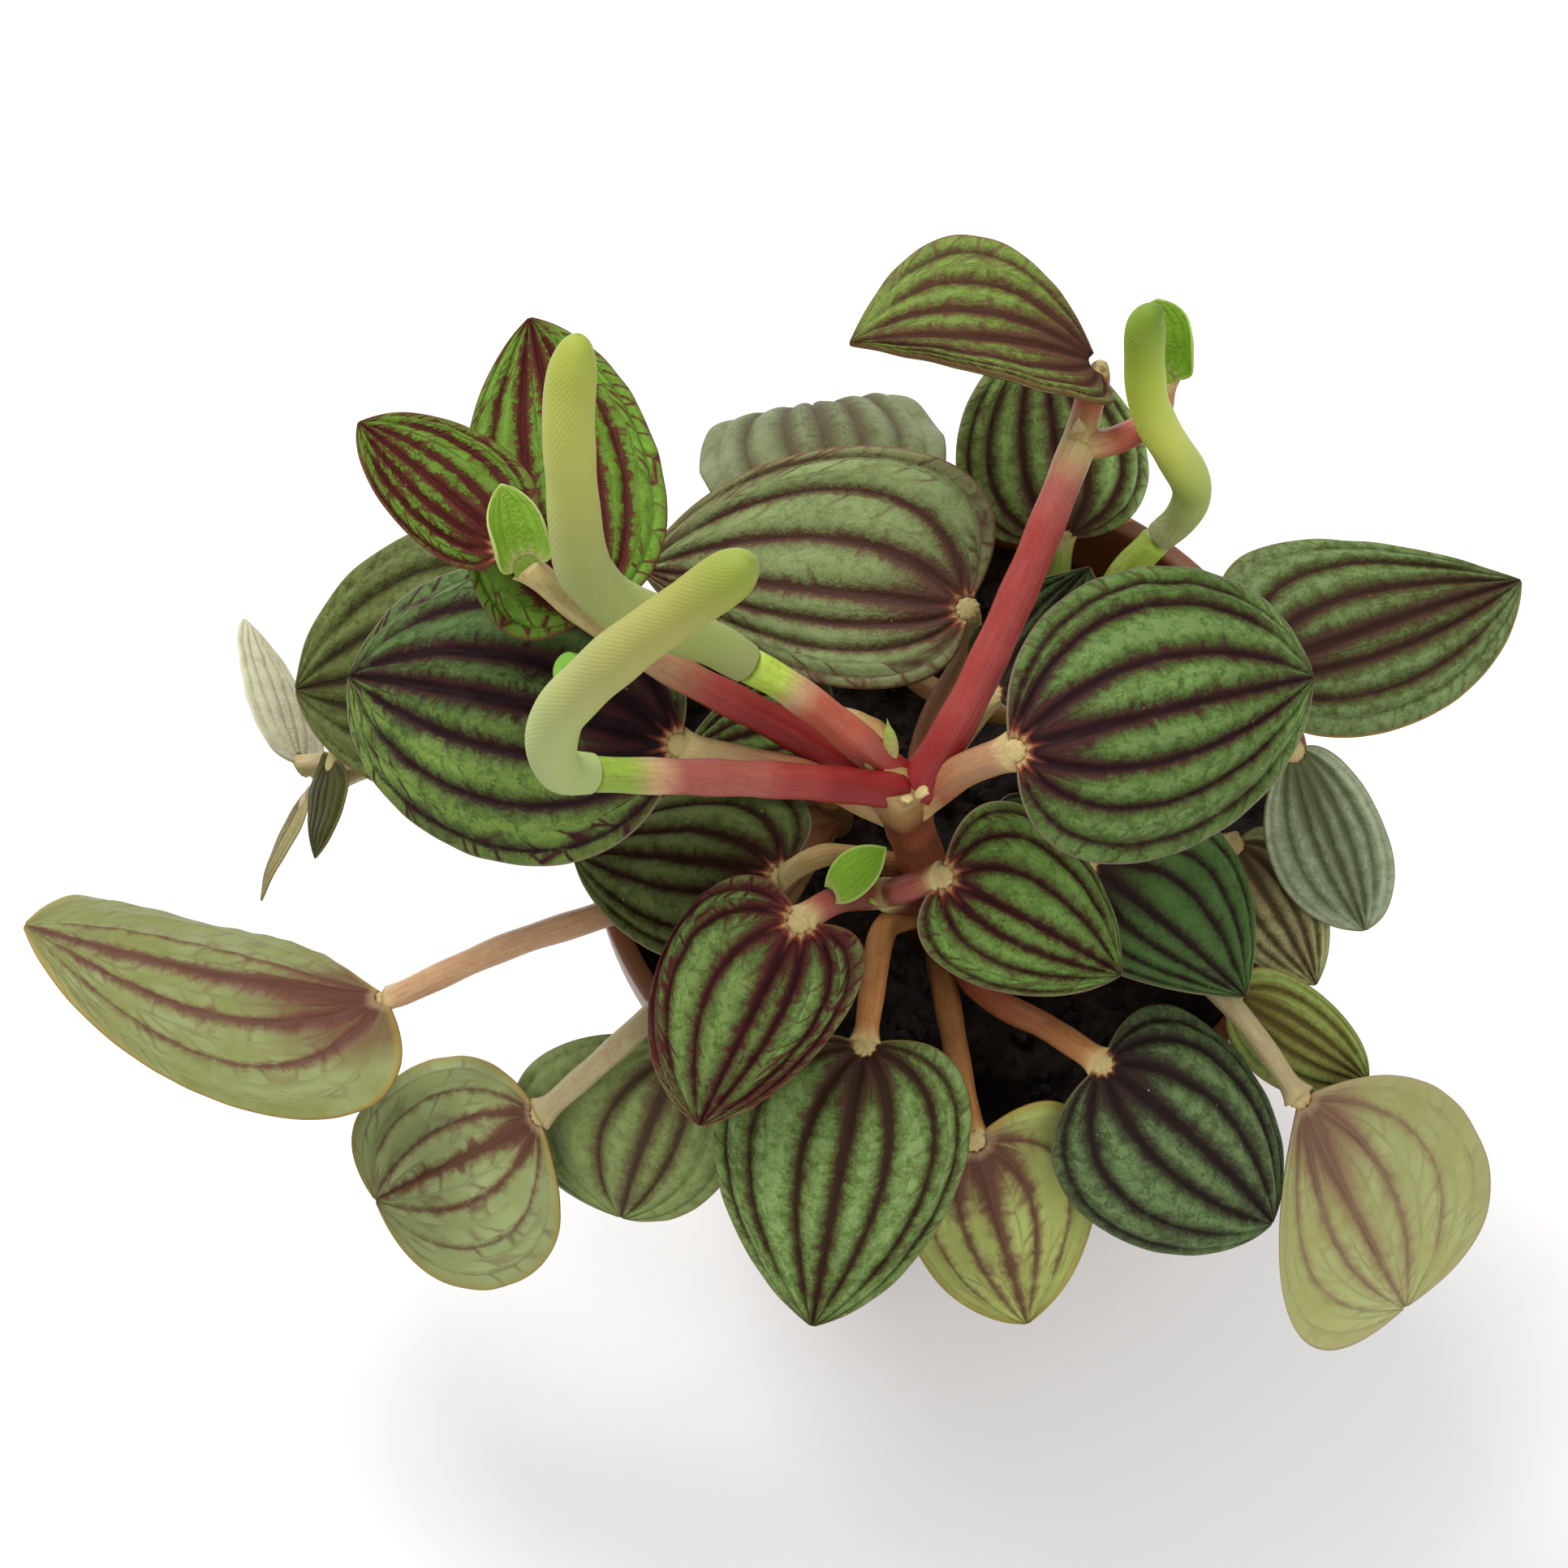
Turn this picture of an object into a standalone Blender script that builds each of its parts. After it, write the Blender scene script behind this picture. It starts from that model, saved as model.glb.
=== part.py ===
"""A potted peperomia: four shoots of heart-shaped, ribbed leaves in a small round nursery pot.

Run with: blender --background --python part.py

The origin is the centre of the pot's base, +Z is up, and -Y is the side that the plant is seen from.
Sizes below are in millimetres, and each mesh is scaled to metres when it is made.
"""

import math
from collections import namedtuple

import bmesh
import bpy
import numpy as np
from mathutils import Vector, noise

MM = 0.001

# The pot, a thin tapered shell with a collar round its rim
POT_HEIGHT = 68.0
POT_RIM_RADIUS = 38.0
POT_BASE_RADIUS = 27.0
POT_WALL = 1.1
POT_FLOOR = 1.6
POT_FOOT_CHAMFER = 1.2
COLLAR_HEIGHT = 8.0
COLLAR_STEP = 1.3
LIP_ROUNDING = 0.4
POT_SIDES = 36
DRAIN_HOLES = 8
DRAIN_RADIUS = 2.6
DRAIN_CIRCLE_RADIUS = 19.0
DRAIN_SIDES = 10

# The soil and the plain holes that the shoots stand in
GAP = 0.3
SOIL_LEVEL = 56.5
SOIL_CLODS = 1.5
SOIL_GRAIN = 5.5
SOIL_RINGS = 7
SOIL_SIDES = 30
HOLE_SIDES = 12

# The leaves. Veins are the lines of constant "across", which is -1 and 1 at the two margins.
BLADE_THICKNESS = 0.8
VEINS = (0.0, 0.36, 0.68)
CRESTS = (0.18, 0.52, 0.84)
RIB_HEIGHT = 0.42
BLADE_ROWS = 6
NOTCH_RADIUS = 1.7
INNER_HANDLE = 0.33
MARGIN_WAVES = 3.0

# The shoots and their leaf stalks
STALK_SIDES = 6
STALK_STEP = 7.0
JOINT_FLARE = 1.3
FLARE_LENGTH = 0.8

# The flower spikes
SPIKE_SIDES = 9
SPIKE_STEPS = 20
SPIKE_TAPER = 0.91
FLORET_RELIEF = 0.16

Leaf = namedtuple("Leaf", "joint tip half roll arch cup lobes point reach blunt skew wave tone")
Stalk = namedtuple("Stalk", "points start_radius end_radius leaf")


def leaf(joint, tip, half, roll=0, arch=25, cup=-25, lobes=102, point=62, reach=0.62, blunt=0.6, skew=0.0,
         wave=0.0, tone="mature"):
    """One blade, from the joint where its stalk meets it to its tip.

    half is the width of half the blade. roll turns it about its midrib, arch bends its length, and cup lifts
    its margins, all in degrees. lobes and point are the angles at which the margin leaves the joint and
    reaches the tip, and reach and blunt say how far it holds them. skew carries the sides towards the tip.
    A pair stands for the left and the right half, seen from the joint with the upper face up.
    """
    return Leaf(joint, tip, half, roll, arch, cup, lobes, point, reach, blunt, skew, wave, tone)


LEAVES = {
    # The crown, highest and nearest the eye
    "leaf_01": leaf((4.6, -7.6, 104), (34.4, 2.3, 98), (15.5, 14.0), roll=14, arch=42, cup=-34, lobes=(98, 91), point=(78, 82), blunt=(0.6, 0.68), skew=0.24),
    "leaf_04": leaf((-27.3, -5.9, 101), (-60.3, 4.4, 93), (15.5, 16.5), roll=-8, arch=42, cup=-34, lobes=(92, 88), point=(80, 88), blunt=(0.6, 0.7)),
    "leaf_06": leaf((-35.3, 3.4, 112), (-41.9, 33.9, 113), (10.8, 9.6), arch=15, cup=(-15, -25), lobes=(112, 84), point=(58, 72), tone="young"),
    "leaf_07": leaf((-43.0, 7.2, 119), (-57.6, 20.4, 118), (5.2, 7.3), arch=15, cup=-20, lobes=96, point=70, tone="young"),
    "leaf_08": leaf((13.2, 28.4, 114), (-11.1, 30.9, 113), (5.8, 11.8), roll=12, arch=45, cup=(25, 10), lobes=(100, 50), point=(28, 80), reach=(0.5, 0.55), blunt=(0.35, 0.62), skew=(-0.4, 0.16), tone="young"),
    "young_leaf_left": leaf((-41.0, 3.5, 122.5), (-43.2, 9.6, 128), 3.4, arch=10, cup=80, lobes=85, tone="young"),
    "young_leaf_right": leaf((19.0, 26.6, 113.5), (18.3, 32.6, 119.5), 4.3, arch=10, cup=98, lobes=80, point=75, tone="young"),
    "young_leaf_front": leaf((-13.2, -17.6, 89.2), (-7.4, -14.2, 95), 2.2, arch=10, cup=20, lobes=55, tone="young"),
    "leaf_10": leaf((1.1, 12.8, 90), (-32.0, 20.0, 83), (9.2, 15.0), roll=-22, arch=20, cup=8, lobes=(92, 112), point=(60, 68), reach=(0.62, 0.72)),
    "leaf_26": leaf((-12.3, 4.4, 82), (-27.5, 1.6, 78), 6.0, cup=-20, tone="young"),
    "leaf_12": leaf((3.4, 4.6, 87.5), (13.4, 17.0, 91), (5.0, 8.5), roll=-25, arch=15, cup=20, wave=0.8),
    # The side shoot, in front
    "leaf_02": leaf((-15.8, -20.1, 90), (-25.6, -38.0, 80), (8.2, 11.2), arch=25, cup=-22, lobes=(108, 136), point=(66, 74), reach=(0.75, 0.64), blunt=(0.6, 0.56), skew=-0.12),
    "leaf_03": leaf((-1.9, -15.8, 91), (16.1, -23.4, 83), (11.0, 8.0), roll=4, cup=-25, lobes=104, point=60),
    # The middle tier
    "leaf_05": leaf((-35.0, 10.5, 84), (-67.6, 9.5, 76), (13.8, 16.8), roll=-10, arch=30, cup=-25, lobes=98, point=80),
    "leaf_09": leaf((12.1, 29.0, 70), (8.5, 41.0, 95), (10.2, 10.7), arch=15, cup=-22, lobes=(94, 112), point=(80, 50), reach=(0.62, 0.7)),
    "leaf_13": leaf((29.0, 7.9, 84), (58.6, 20.1, 80), (12.0, 10.4), roll=9, cup=-16, lobes=(96, 84), point=(34, 76), reach=(0.62, 0.6), blunt=(0.6, 0.75), skew=(0.04, 0.12)),
    "leaf_16": leaf((12.8, -11.7, 83), (28.8, -24.2, 78), (12.5, 8.0), roll=-4, cup=-20, lobes=102, point=50, skew=0.2),
    "leaf_22": leaf((-9.3, -29.3, 79), (-14.5, -55.1, 67), (12.4, 14.0), arch=35, cup=-28, lobes=(112, 100), point=(64, 58)),
    "leaf_25": leaf((-17.5, -12.1, 80), (-38.9, -7.5, 74), (10.5, 11.0), roll=8, cup=-22, lobes=(100, 114), reach=(0.62, 0.72)),
    # The lowest tier, over and outside the rim
    "leaf_11": leaf((-10.2, 24.4, 75), (-14.4, 49.0, 58), (13.8, 12.5), arch=95, cup=-15, lobes=95, point=84, blunt=0.75, wave=1.0),
    "leaf_14": leaf((34.2, 1.0, 81), (42.2, -14.4, 69.4), (5.8, 6.4), roll=10, cup=-20, lobes=(88, 70), point=(88, 74), blunt=(0.85, 0.66)),
    "leaf_15": leaf((28.8, -5.6, 71.2), (37.2, -19.7, 67.7), (6.0, 6.0), cup=-12, point=66),
    "leaf_17": leaf((14.3, -30.7, 77), (32.3, -43.5, 63), (12.8, 13.3), arch=45, cup=-45, lobes=104, point=74),
    "leaf_18": leaf((34.6, -32.1, 70), (45.6, -51.8, 61), (10.8, 16.4), roll=182, arch=25, cup=(8, 25), lobes=(35, 80), point=(104, 84), blunt=0.75, tone="pale"),
    "leaf_19": leaf((-57.9, -20.7, 66), (-97.0, -10.8, 60), (17.0, 15.0), roll=208, arch=20, cup=(62, 30), lobes=(34, 124), point=(82, 56), reach=(0.45, 0.75), blunt=(0.85, 0.6), tone="pale"),
    "leaf_20": leaf((-42.1, -32.0, 63), (-60.0, -38.0, 51), (12.0, 14.0), roll=172, arch=40, cup=30, lobes=(74, 72), point=(94, 91), skew=(0.2, 0.0), tone="pale"),
    "leaf_21": leaf((-27.2, -27.4, 72), (-34.0, -41.4, 57), (9.5, 16.5), roll=8, arch=35, cup=(-10, -20), lobes=(95, 84), point=(80, 104), blunt=(0.6, 0.8), skew=-0.15),
    "leaf_23": leaf((1.7, -37.2, 72.2), (7.4, -53.2, 60), (9.4, 11.2), roll=191, cup=(25, 8), lobes=(100, 124), point=(76, 66), reach=(0.62, 0.75), tone="pale"),
    "leaf_24": leaf((28.2, -21.9, 71), (42.6, -28.9, 64.0), (5.0, 5.4), roll=20, cup=-12, lobes=(102, 80), point=(72, 80)),
    "leaf_27": leaf((-67.8, 5.6, 64.4), (-75.4, 24.8, 58), 7.0, roll=66, cup=-15, tone="pale"),
    "leaf_28": leaf((3.6, -4.6, 75), (10.0, -8.0, 75.5), 4.5, cup=-15),
    "leaf_29": leaf((-67.9, 3.2, 61), (-73.0, -6.0, 54), 4.0, roll=66, cup=-15, tone="pale"),
    "leaf_30": leaf((-64.2, 3.6, 71.4), (-66.0, -5.4, 66), 5.0, roll=60, cup=-20),
}

SHOOTS = {
    "main_stem": [
        Stalk([(-1.5, -10.3, 45.8), (-1.9, -10.7, 68), (-4.0, -10.2, 84), (-6.2, -10.2, 98), (-6.0, -10.0, 100.6)], 2.6, 2.3, None),
        Stalk([(-6.2, -9.9, 99), (-14.7, -11.2, 105), (-22.3, -12.6, 110), (-30.5, -14.2, 115), (-34.6, -14.6, 116.5)], 1.8, 1.7, None),
        Stalk([(-6.2, -8.0, 98), (-12.3, -4.7, 104), (-17.4, -2.6, 109), (-20.4, -1.6, 111)], 1.8, 1.7, None),
        Stalk([(-6.4, -9.2, 95), (-16.5, -3.8, 99), (-27.0, -0.6, 106), (-33.0, 1.6, 110.5)], 1.8, 1.6, None),
        Stalk([(-32.6, 1.4, 110), (-34.4, 2.4, 111.2)], 1.5, 1.3, "leaf_06"),
        Stalk([(-32.6, 1.4, 110), (-38.5, 4.4, 115)], 1.3, 1.1, "leaf_07"),
        Stalk([(-32.6, 1.4, 110), (-36.0, 1.4, 116), (-39.3, 2.4, 121)], 1.2, 1.0, "young_leaf_left"),
        Stalk([(-5.0, -9.8, 98), (0.0, -2.6, 101.5), (6.0, 9.6, 106), (11.2, 21.9, 110)], 2.0, 1.7, None),
        Stalk([(11.0, 21.5, 109.8), (12.4, 26.6, 110.3)], 1.6, 1.3, "leaf_08"),
        Stalk([(11.0, 21.5, 109.8), (15.2, 22.6, 109.4), (18.8, 24.4, 111.0)], 1.5, 1.1, "young_leaf_right"),
        Stalk([(-4.6, -9.8, 95), (-0.5, -8.3, 100)], 1.9, 1.6, "leaf_01"),
        Stalk([(-6.5, -9.6, 92), (-14.6, -7.6, 97), (-22.0, -6.6, 99)], 1.7, 1.4, "leaf_04"),
        Stalk([(-3.6, -8.6, 80), (-3.0, 3.0, 78), (1.2, 11.0, 82), (1.5, 12.7, 86)], 1.4, 1.2, "leaf_10"),
        Stalk([(-6.0, -9.0, 90), (-7.6, -1.0, 89), (-9.5, 2.0, 86)], 1.3, 1.1, "leaf_26"),
        Stalk([(-4.4, -8.8, 90), (-0.8, -1.5, 87)], 1.3, 1.2, "leaf_12"),
        Stalk([(-3.2, -10.0, 76), (-11.2, -10.1, 80.5), (-14.0, -10.8, 82)], 1.3, 1.1, "leaf_25"),
        Stalk([(-2.2, -10.6, 68), (-4.4, -13.5, 77), (-6.9, -15.5, 84), (-7.2, -15.8, 86)], 1.7, 1.6, None),
        Stalk([(-7.2, -15.8, 85.5), (-4.6, -16.2, 89)], 1.5, 1.2, "leaf_03"),
        Stalk([(-7.2, -15.5, 85), (-12.0, -17.2, 88)], 1.6, 1.3, "leaf_02"),
        Stalk([(-2.0, -10.5, 64), (-6.9, -15.4, 74), (-8.2, -21.7, 78)], 1.5, 1.2, "leaf_22"),
        Stalk([(-1.6, -10.9, 60), (-0.7, -21.1, 68), (0.6, -31.0, 71.3)], 1.5, 1.2, "leaf_23"),
        Stalk([(-1.6, -10.9, 61), (3.2, -21.6, 71), (9.1, -26.4, 75)], 1.5, 1.3, "leaf_17"),
    ],
    "right_shoot": [
        Stalk([(12.0, -3.0, 45.8), (12.2, -3.0, 60), (12.5, -3.0, 68)], 2.4, 1.9, None),
        Stalk([(12.4, -3.2, 66), (12.0, -8.0, 76)], 1.3, 1.2, "leaf_16"),
        Stalk([(12.3, -3.4, 61), (18.5, -12.5, 66), (24.5, -18.0, 69.5)], 1.3, 1.1, "leaf_24"),
        Stalk([(12.4, -3.4, 64), (19.0, -14.5, 72.5), (27.8, -24.2, 75)], 1.3, 1.1, "leaf_18"),
        Stalk([(12.5, -3.0, 60), (20.0, -4.0, 67), (25.0, -4.8, 69.0)], 1.3, 1.0, "leaf_15"),
        Stalk([(12.5, -2.8, 64), (23.0, 0.5, 74), (30.5, 1.0, 79.5)], 1.3, 1.1, "leaf_14"),
        Stalk([(12.5, -2.6, 66), (20.0, 2.5, 78)], 1.4, 1.2, "leaf_13"),
        Stalk([(12.2, -3.4, 66), (6.0, -4.0, 71)], 1.2, 1.1, "leaf_28"),
    ],
    "back_shoot": [
        Stalk([(9.0, 12.0, 45.8), (9.2, 12.0, 60), (9.5, 12.2, 64)], 2.2, 1.8, None),
        Stalk([(9.4, 12.2, 62), (13.0, 12.5, 76), (16.2, 15.5, 90), (19.6, 17.8, 95.6)], 1.7, 1.6, None),
        Stalk([(9.4, 12.4, 60), (11.4, 23.0, 63)], 1.3, 1.2, "leaf_09"),
        Stalk([(9.2, 12.2, 60), (-2.0, 12.0, 70), (-7.5, 17.0, 74)], 1.3, 1.2, "leaf_11"),
    ],
    "left_shoot": [
        Stalk([(-12.0, 2.0, 45.8), (-12.0, 2.0, 60), (-12.4, 2.0, 66)], 2.2, 1.8, None),
        Stalk([(-12.4, 2.2, 64), (-20.0, 8.0, 72), (-29.0, 9.5, 80)], 1.4, 1.2, "leaf_05"),
        Stalk([(-12.3, 2.0, 62), (-36.0, 3.0, 72), (-56.0, 5.0, 69)], 1.4, 1.1, "leaf_27"),
        Stalk([(-56.0, 5.0, 69), (-62.0, 4.6, 65)], 1.1, 1.0, "leaf_29"),
        Stalk([(-52.0, 4.6, 70), (-58.0, 4.4, 71)], 1.1, 1.0, "leaf_30"),
        Stalk([(-12.3, 1.8, 61), (-24.0, -8.0, 71), (-34.7, -13.4, 73), (-45.9, -16.7, 71)], 1.6, 1.3, "leaf_19"),
        Stalk([(-12.1, 1.6, 60), (-20.0, -13.0, 71), (-31.0, -25.6, 75)], 1.5, 1.2, "leaf_20"),
        Stalk([(-12.1, 1.6, 58), (-20.0, -15.0, 68)], 1.3, 1.2, "leaf_21"),
    ],
}

SPIKES = {
    "spike_left": [(-35.1, -14.6, 116.8), (-37.6, -15.0, 118.8), (-38.4, -14.2, 122.6), (-37.6, -12.8, 127),
                   (-35.2, -11.6, 131), (-32.2, -10.4, 135), (-28.8, -9.3, 139), (-22.2, -7.7, 147), (-20.1, -7.3, 150)],
    "spike_centre": [(-20.9, -1.5, 111.4), (-23.8, -0.7, 114), (-27.5, -0.5, 117.5), (-31.6, -0.2, 121),
                     (-34.4, 0.7, 125), (-35.9, 2.4, 129), (-36.4, 8.3, 139), (-36.2, 12.0, 143), (-35.3, 15.5, 147)],
    "spike_right": [(20.1, 18.1, 96.1), (21.8, 18.9, 98.4), (22.6, 19.5, 102), (22.1, 19.9, 106),
                    (20.1, 20.6, 111), (18.1, 21.3, 116), (16.8, 22.4, 121), (16.1, 24.3, 130), (17.1, 25.1, 133)],
}
SPIKE_RADII = {"spike_left": 2.6, "spike_centre": 2.6, "spike_right": 2.1}
BUDS = {"bud_left": [(-34.6, -1.0, 108.6), (-36.4, -2.0, 110.0), (-38.0, -2.3, 112.0)]}
BUD_RADIUS = 1.9
BUD_STEPS = 5

MATERIALS = {
    "pot_plastic": ((0.36, 0.12, 0.05), 0.45),
    "potting_soil": ((0.02, 0.013, 0.009), 0.95),
    "stem_red": ((0.42, 0.07, 0.07), 0.45),
    "leaf_mature": ((0.09, 0.19, 0.05), 0.5),
    "leaf_young": ((0.12, 0.26, 0.04), 0.45),
    "leaf_pale": ((0.35, 0.42, 0.18), 0.55),
    "spike_green": ((0.35, 0.46, 0.12), 0.6),
}


def material(name):
    """The Principled material of that name, made once."""
    made = bpy.data.materials.get(name)
    if made is None:
        colour, roughness = MATERIALS[name]
        made = bpy.data.materials.new(name)
        made.use_nodes = True
        shader = made.node_tree.nodes["Principled BSDF"]
        shader.inputs["Base Color"].default_value = (*colour, 1.0)
        shader.inputs["Roughness"].default_value = roughness
        shader.inputs["Metallic"].default_value = 0.0
    return made


def add_object(name, points, faces, material_name, collection=None):
    """A mesh object from points in millimetres."""
    mesh = bpy.data.meshes.new(name)
    mesh.from_pydata([Vector(p) * MM for p in points], [], faces)
    mesh.materials.append(material(material_name))
    mesh.shade_smooth()
    made = bpy.data.objects.new(name, mesh)
    (collection or bpy.context.scene.collection).objects.link(made)
    return made


def unit(vector):
    return vector / np.linalg.norm(vector)


def smooth_path(points, count):
    """count points along a Catmull-Rom curve through the given ones, spaced evenly."""
    given = np.array(points, float)
    ends = np.vstack([2 * given[0] - given[1], given, 2 * given[-1] - given[-2]])
    fine = []
    for i in range(1, len(ends) - 2):
        before, start, stop, after = ends[i - 1 : i + 3]
        for t in np.linspace(0, 1, 12, endpoint=False):
            fine.append(
                0.5 * (2 * start + (stop - before) * t + (2 * before - 5 * start + 4 * stop - after) * t**2
                       + (3 * start - before - 3 * stop + after) * t**3)
            )
    fine = np.array(fine + [given[-1]])
    run = np.concatenate([[0], np.cumsum(np.linalg.norm(np.diff(fine, axis=0), axis=1))])
    even = np.linspace(0, run[-1], count)
    return np.stack([np.interp(even, run, fine[:, axis]) for axis in range(3)], axis=1)


def tube(path, radii, sides, relief=0.0):
    """Points and faces of a closed tube along path. relief staggers the ring's radius, as florets do."""
    rings = []
    tangent = unit(path[1] - path[0])
    side = unit(np.cross(tangent, (0.0, 0.3, 1.0) if abs(tangent[2]) < 0.95 else (1.0, 0.0, 0.0)))
    for i, centre in enumerate(path):
        ahead = path[min(i + 1, len(path) - 1)] - path[max(i - 1, 0)]
        tangent = unit(ahead)
        side = unit(side - tangent * side.dot(tangent))
        other = np.cross(tangent, side)
        for j in range(sides):
            angle = math.tau * j / sides
            swell = relief * (1 if (i + j) % 2 else -1) if 0 < i < len(path) - 1 else 0.0
            rings.append(centre + (radii[i] + swell) * (math.cos(angle) * side + math.sin(angle) * other))
    faces = [tuple(reversed(range(sides))), tuple(range(len(rings) - sides, len(rings)))]
    for i in range(len(path) - 1):
        for j in range(sides):
            a, b = i * sides + j, i * sides + (j + 1) % sides
            faces += [(a, b, b + sides), (a, b + sides, a + sides)]
    return rings, faces


def turned(profile, sides):
    """Points and faces of a closed turned solid. The profile runs from the axis, up outside, and back to the axis."""
    points, faces = [], []
    rings = []
    for radius, height in profile:
        if radius == 0:
            rings.append([len(points)] * sides)
            points.append((0, 0, height))
            continue
        rings.append(list(range(len(points), len(points) + sides)))
        for j in range(sides):
            angle = math.tau * j / sides
            points.append((radius * math.cos(angle), radius * math.sin(angle), height))
    for low, high in zip(rings, rings[1:]):
        for j in range(sides):
            k = (j + 1) % sides
            corners = list(dict.fromkeys([low[j], low[k], high[k], high[j]]))
            if len(corners) > 2:
                faces.append(tuple(corners))
    return points, faces


def boolean(target, operation, other=None, collection=None, solver="EXACT"):
    """Applies one Boolean to target, then removes what it was joined to or cut by."""
    modifier = target.modifiers.new(operation.lower(), "BOOLEAN")
    modifier.operation = operation
    modifier.solver = solver
    if collection:
        modifier.operand_type = "COLLECTION"
        modifier.collection = collection
        used = list(collection.objects)
    else:
        modifier.object = other
        used = [other]
    graph = bpy.context.evaluated_depsgraph_get()
    joined = bpy.data.meshes.new_from_object(target.evaluated_get(graph))
    target.modifiers.clear()
    target.data = joined
    for piece in used:
        bpy.data.objects.remove(piece)
    if collection:
        bpy.data.collections.remove(collection)


def pot_inner_radius(height):
    """The radius of the pot's inner wall at a height."""
    share = height / (POT_HEIGHT - COLLAR_HEIGHT)
    below_collar = POT_RIM_RADIUS - COLLAR_STEP
    return POT_BASE_RADIUS + (below_collar - POT_BASE_RADIUS) * share - POT_WALL


def make_pot():
    """The tapered shell, its collar and lip, with drain holes cut round the base."""
    collar_foot = POT_HEIGHT - COLLAR_HEIGHT
    below_collar = POT_RIM_RADIUS - COLLAR_STEP
    lip = POT_RIM_RADIUS - 2 * POT_WALL
    profile = [
        (0, 0),
        (POT_BASE_RADIUS - POT_FOOT_CHAMFER, 0),
        (POT_BASE_RADIUS, POT_FOOT_CHAMFER),
        (below_collar, collar_foot - LIP_ROUNDING),
        (POT_RIM_RADIUS - 0.4, collar_foot),
        (POT_RIM_RADIUS, POT_HEIGHT - LIP_ROUNDING),
        (POT_RIM_RADIUS - LIP_ROUNDING, POT_HEIGHT),
        (lip + LIP_ROUNDING, POT_HEIGHT),
        (lip, POT_HEIGHT - LIP_ROUNDING),
        (pot_inner_radius(collar_foot), collar_foot),
        (pot_inner_radius(POT_FLOOR), POT_FLOOR),
        (0, POT_FLOOR),
    ]
    pot = add_object("pot", *turned(profile, POT_SIDES), "pot_plastic")
    pot.data.set_sharp_from_angle(angle=math.radians(35))
    drains = bpy.data.collections.new("drains")
    bpy.context.scene.collection.children.link(drains)
    for i in range(DRAIN_HOLES):
        angle = math.tau * (i + 0.5) / DRAIN_HOLES
        centre = np.array([math.cos(angle), math.sin(angle), 0]) * DRAIN_CIRCLE_RADIUS
        path = np.array([centre + (0, 0, -2), centre + (0, 0, POT_FLOOR + 2)])
        add_object(f"drain_{i}", *tube(path, [DRAIN_RADIUS] * 2, DRAIN_SIDES), "pot_plastic", drains)
    boolean(pot, "DIFFERENCE", collection=drains)


def make_soil():
    """The root ball: clods on top, the pot's taper round its side, and a hole for each shoot."""
    points, faces = [], []
    edge = pot_inner_radius(SOIL_LEVEL) - 2 * GAP
    floor = POT_FLOOR + GAP
    foot = pot_inner_radius(floor) - 2 * GAP
    points.append((0, 0, SOIL_LEVEL))
    for ring in range(1, SOIL_RINGS + 1):
        for j in range(SOIL_SIDES):
            angle = math.tau * (j + 0.5 * (ring % 2)) / SOIL_SIDES
            radius = edge * ring / SOIL_RINGS
            x, y = radius * math.cos(angle), radius * math.sin(angle)
            clod = 0.0 if ring == SOIL_RINGS else noise.noise((x / SOIL_GRAIN, y / SOIL_GRAIN, 4.0)) * SOIL_CLODS
            points.append((x, y, SOIL_LEVEL + clod))
    for j in range(SOIL_SIDES):
        angle = math.tau * (j + 0.5 * (SOIL_RINGS % 2)) / SOIL_SIDES
        points.append((foot * math.cos(angle), foot * math.sin(angle), floor))
    for j in range(SOIL_SIDES):
        faces.append((0, 1 + j, 1 + (j + 1) % SOIL_SIDES))
    for ring in range(SOIL_RINGS):
        first = 1 + ring * SOIL_SIDES
        ahead = (ring + 1) % 2 and ring < SOIL_RINGS - 1
        for j in range(SOIL_SIDES):
            k = (j + 1) % SOIL_SIDES
            a, b, c, d = first + j, first + k, first + SOIL_SIDES + j, first + SOIL_SIDES + k
            if ahead:
                faces += [(a, c, b), (b, c, d)]
            else:
                faces += [(a, c, d), (a, d, b)]
    faces.append(tuple(reversed(range(len(points) - SOIL_SIDES, len(points)))))
    soil = add_object("soil", points, faces, "potting_soil")
    holes = bpy.data.collections.new("holes")
    bpy.context.scene.collection.children.link(holes)
    for name, stalks in SHOOTS.items():
        x, y, foot_height = stalks[0].points[0]
        path = np.array([(x, y, foot_height - GAP), (x, y, SOIL_LEVEL + 5)])
        radius = stalks[0].start_radius + 2 * GAP
        add_object(f"hole_{name}", *tube(path, [radius] * 2, HOLE_SIDES), "potting_soil", holes)
    boolean(soil, "DIFFERENCE", collection=holes)


def of_side(value, across):
    """The value for each point's half of the blade."""
    left, right = value if isinstance(value, tuple) else (value, value)
    return np.where(across >= 0, left, right)


def blade_outline(shape, length, across, along):
    """Flat positions: cubic curves that fan out from the joint and meet at the tip, one for each vein."""
    side = np.abs(across)
    leave = across * np.radians(of_side(shape.lobes, across))
    arrive = across * np.radians(of_side(shape.point, across))
    near = (INNER_HANDLE + (of_side(shape.reach, across) - INNER_HANDLE) * side**2) * length
    far = (INNER_HANDLE + (of_side(shape.blunt, across) - INNER_HANDLE) * side**2) * length
    back = 1 - along
    x = 3 * back**2 * along * np.cos(leave) * near + 3 * back * along**2 * (length - np.cos(arrive) * far)
    y = 3 * back**2 * along * np.sin(leave) * near + 3 * back * along**2 * np.sin(arrive) * far
    return x + along**3 * length, y, back**3 * NOTCH_RADIUS * np.cos(leave), back**3 * NOTCH_RADIUS * np.sin(leave)


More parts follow.
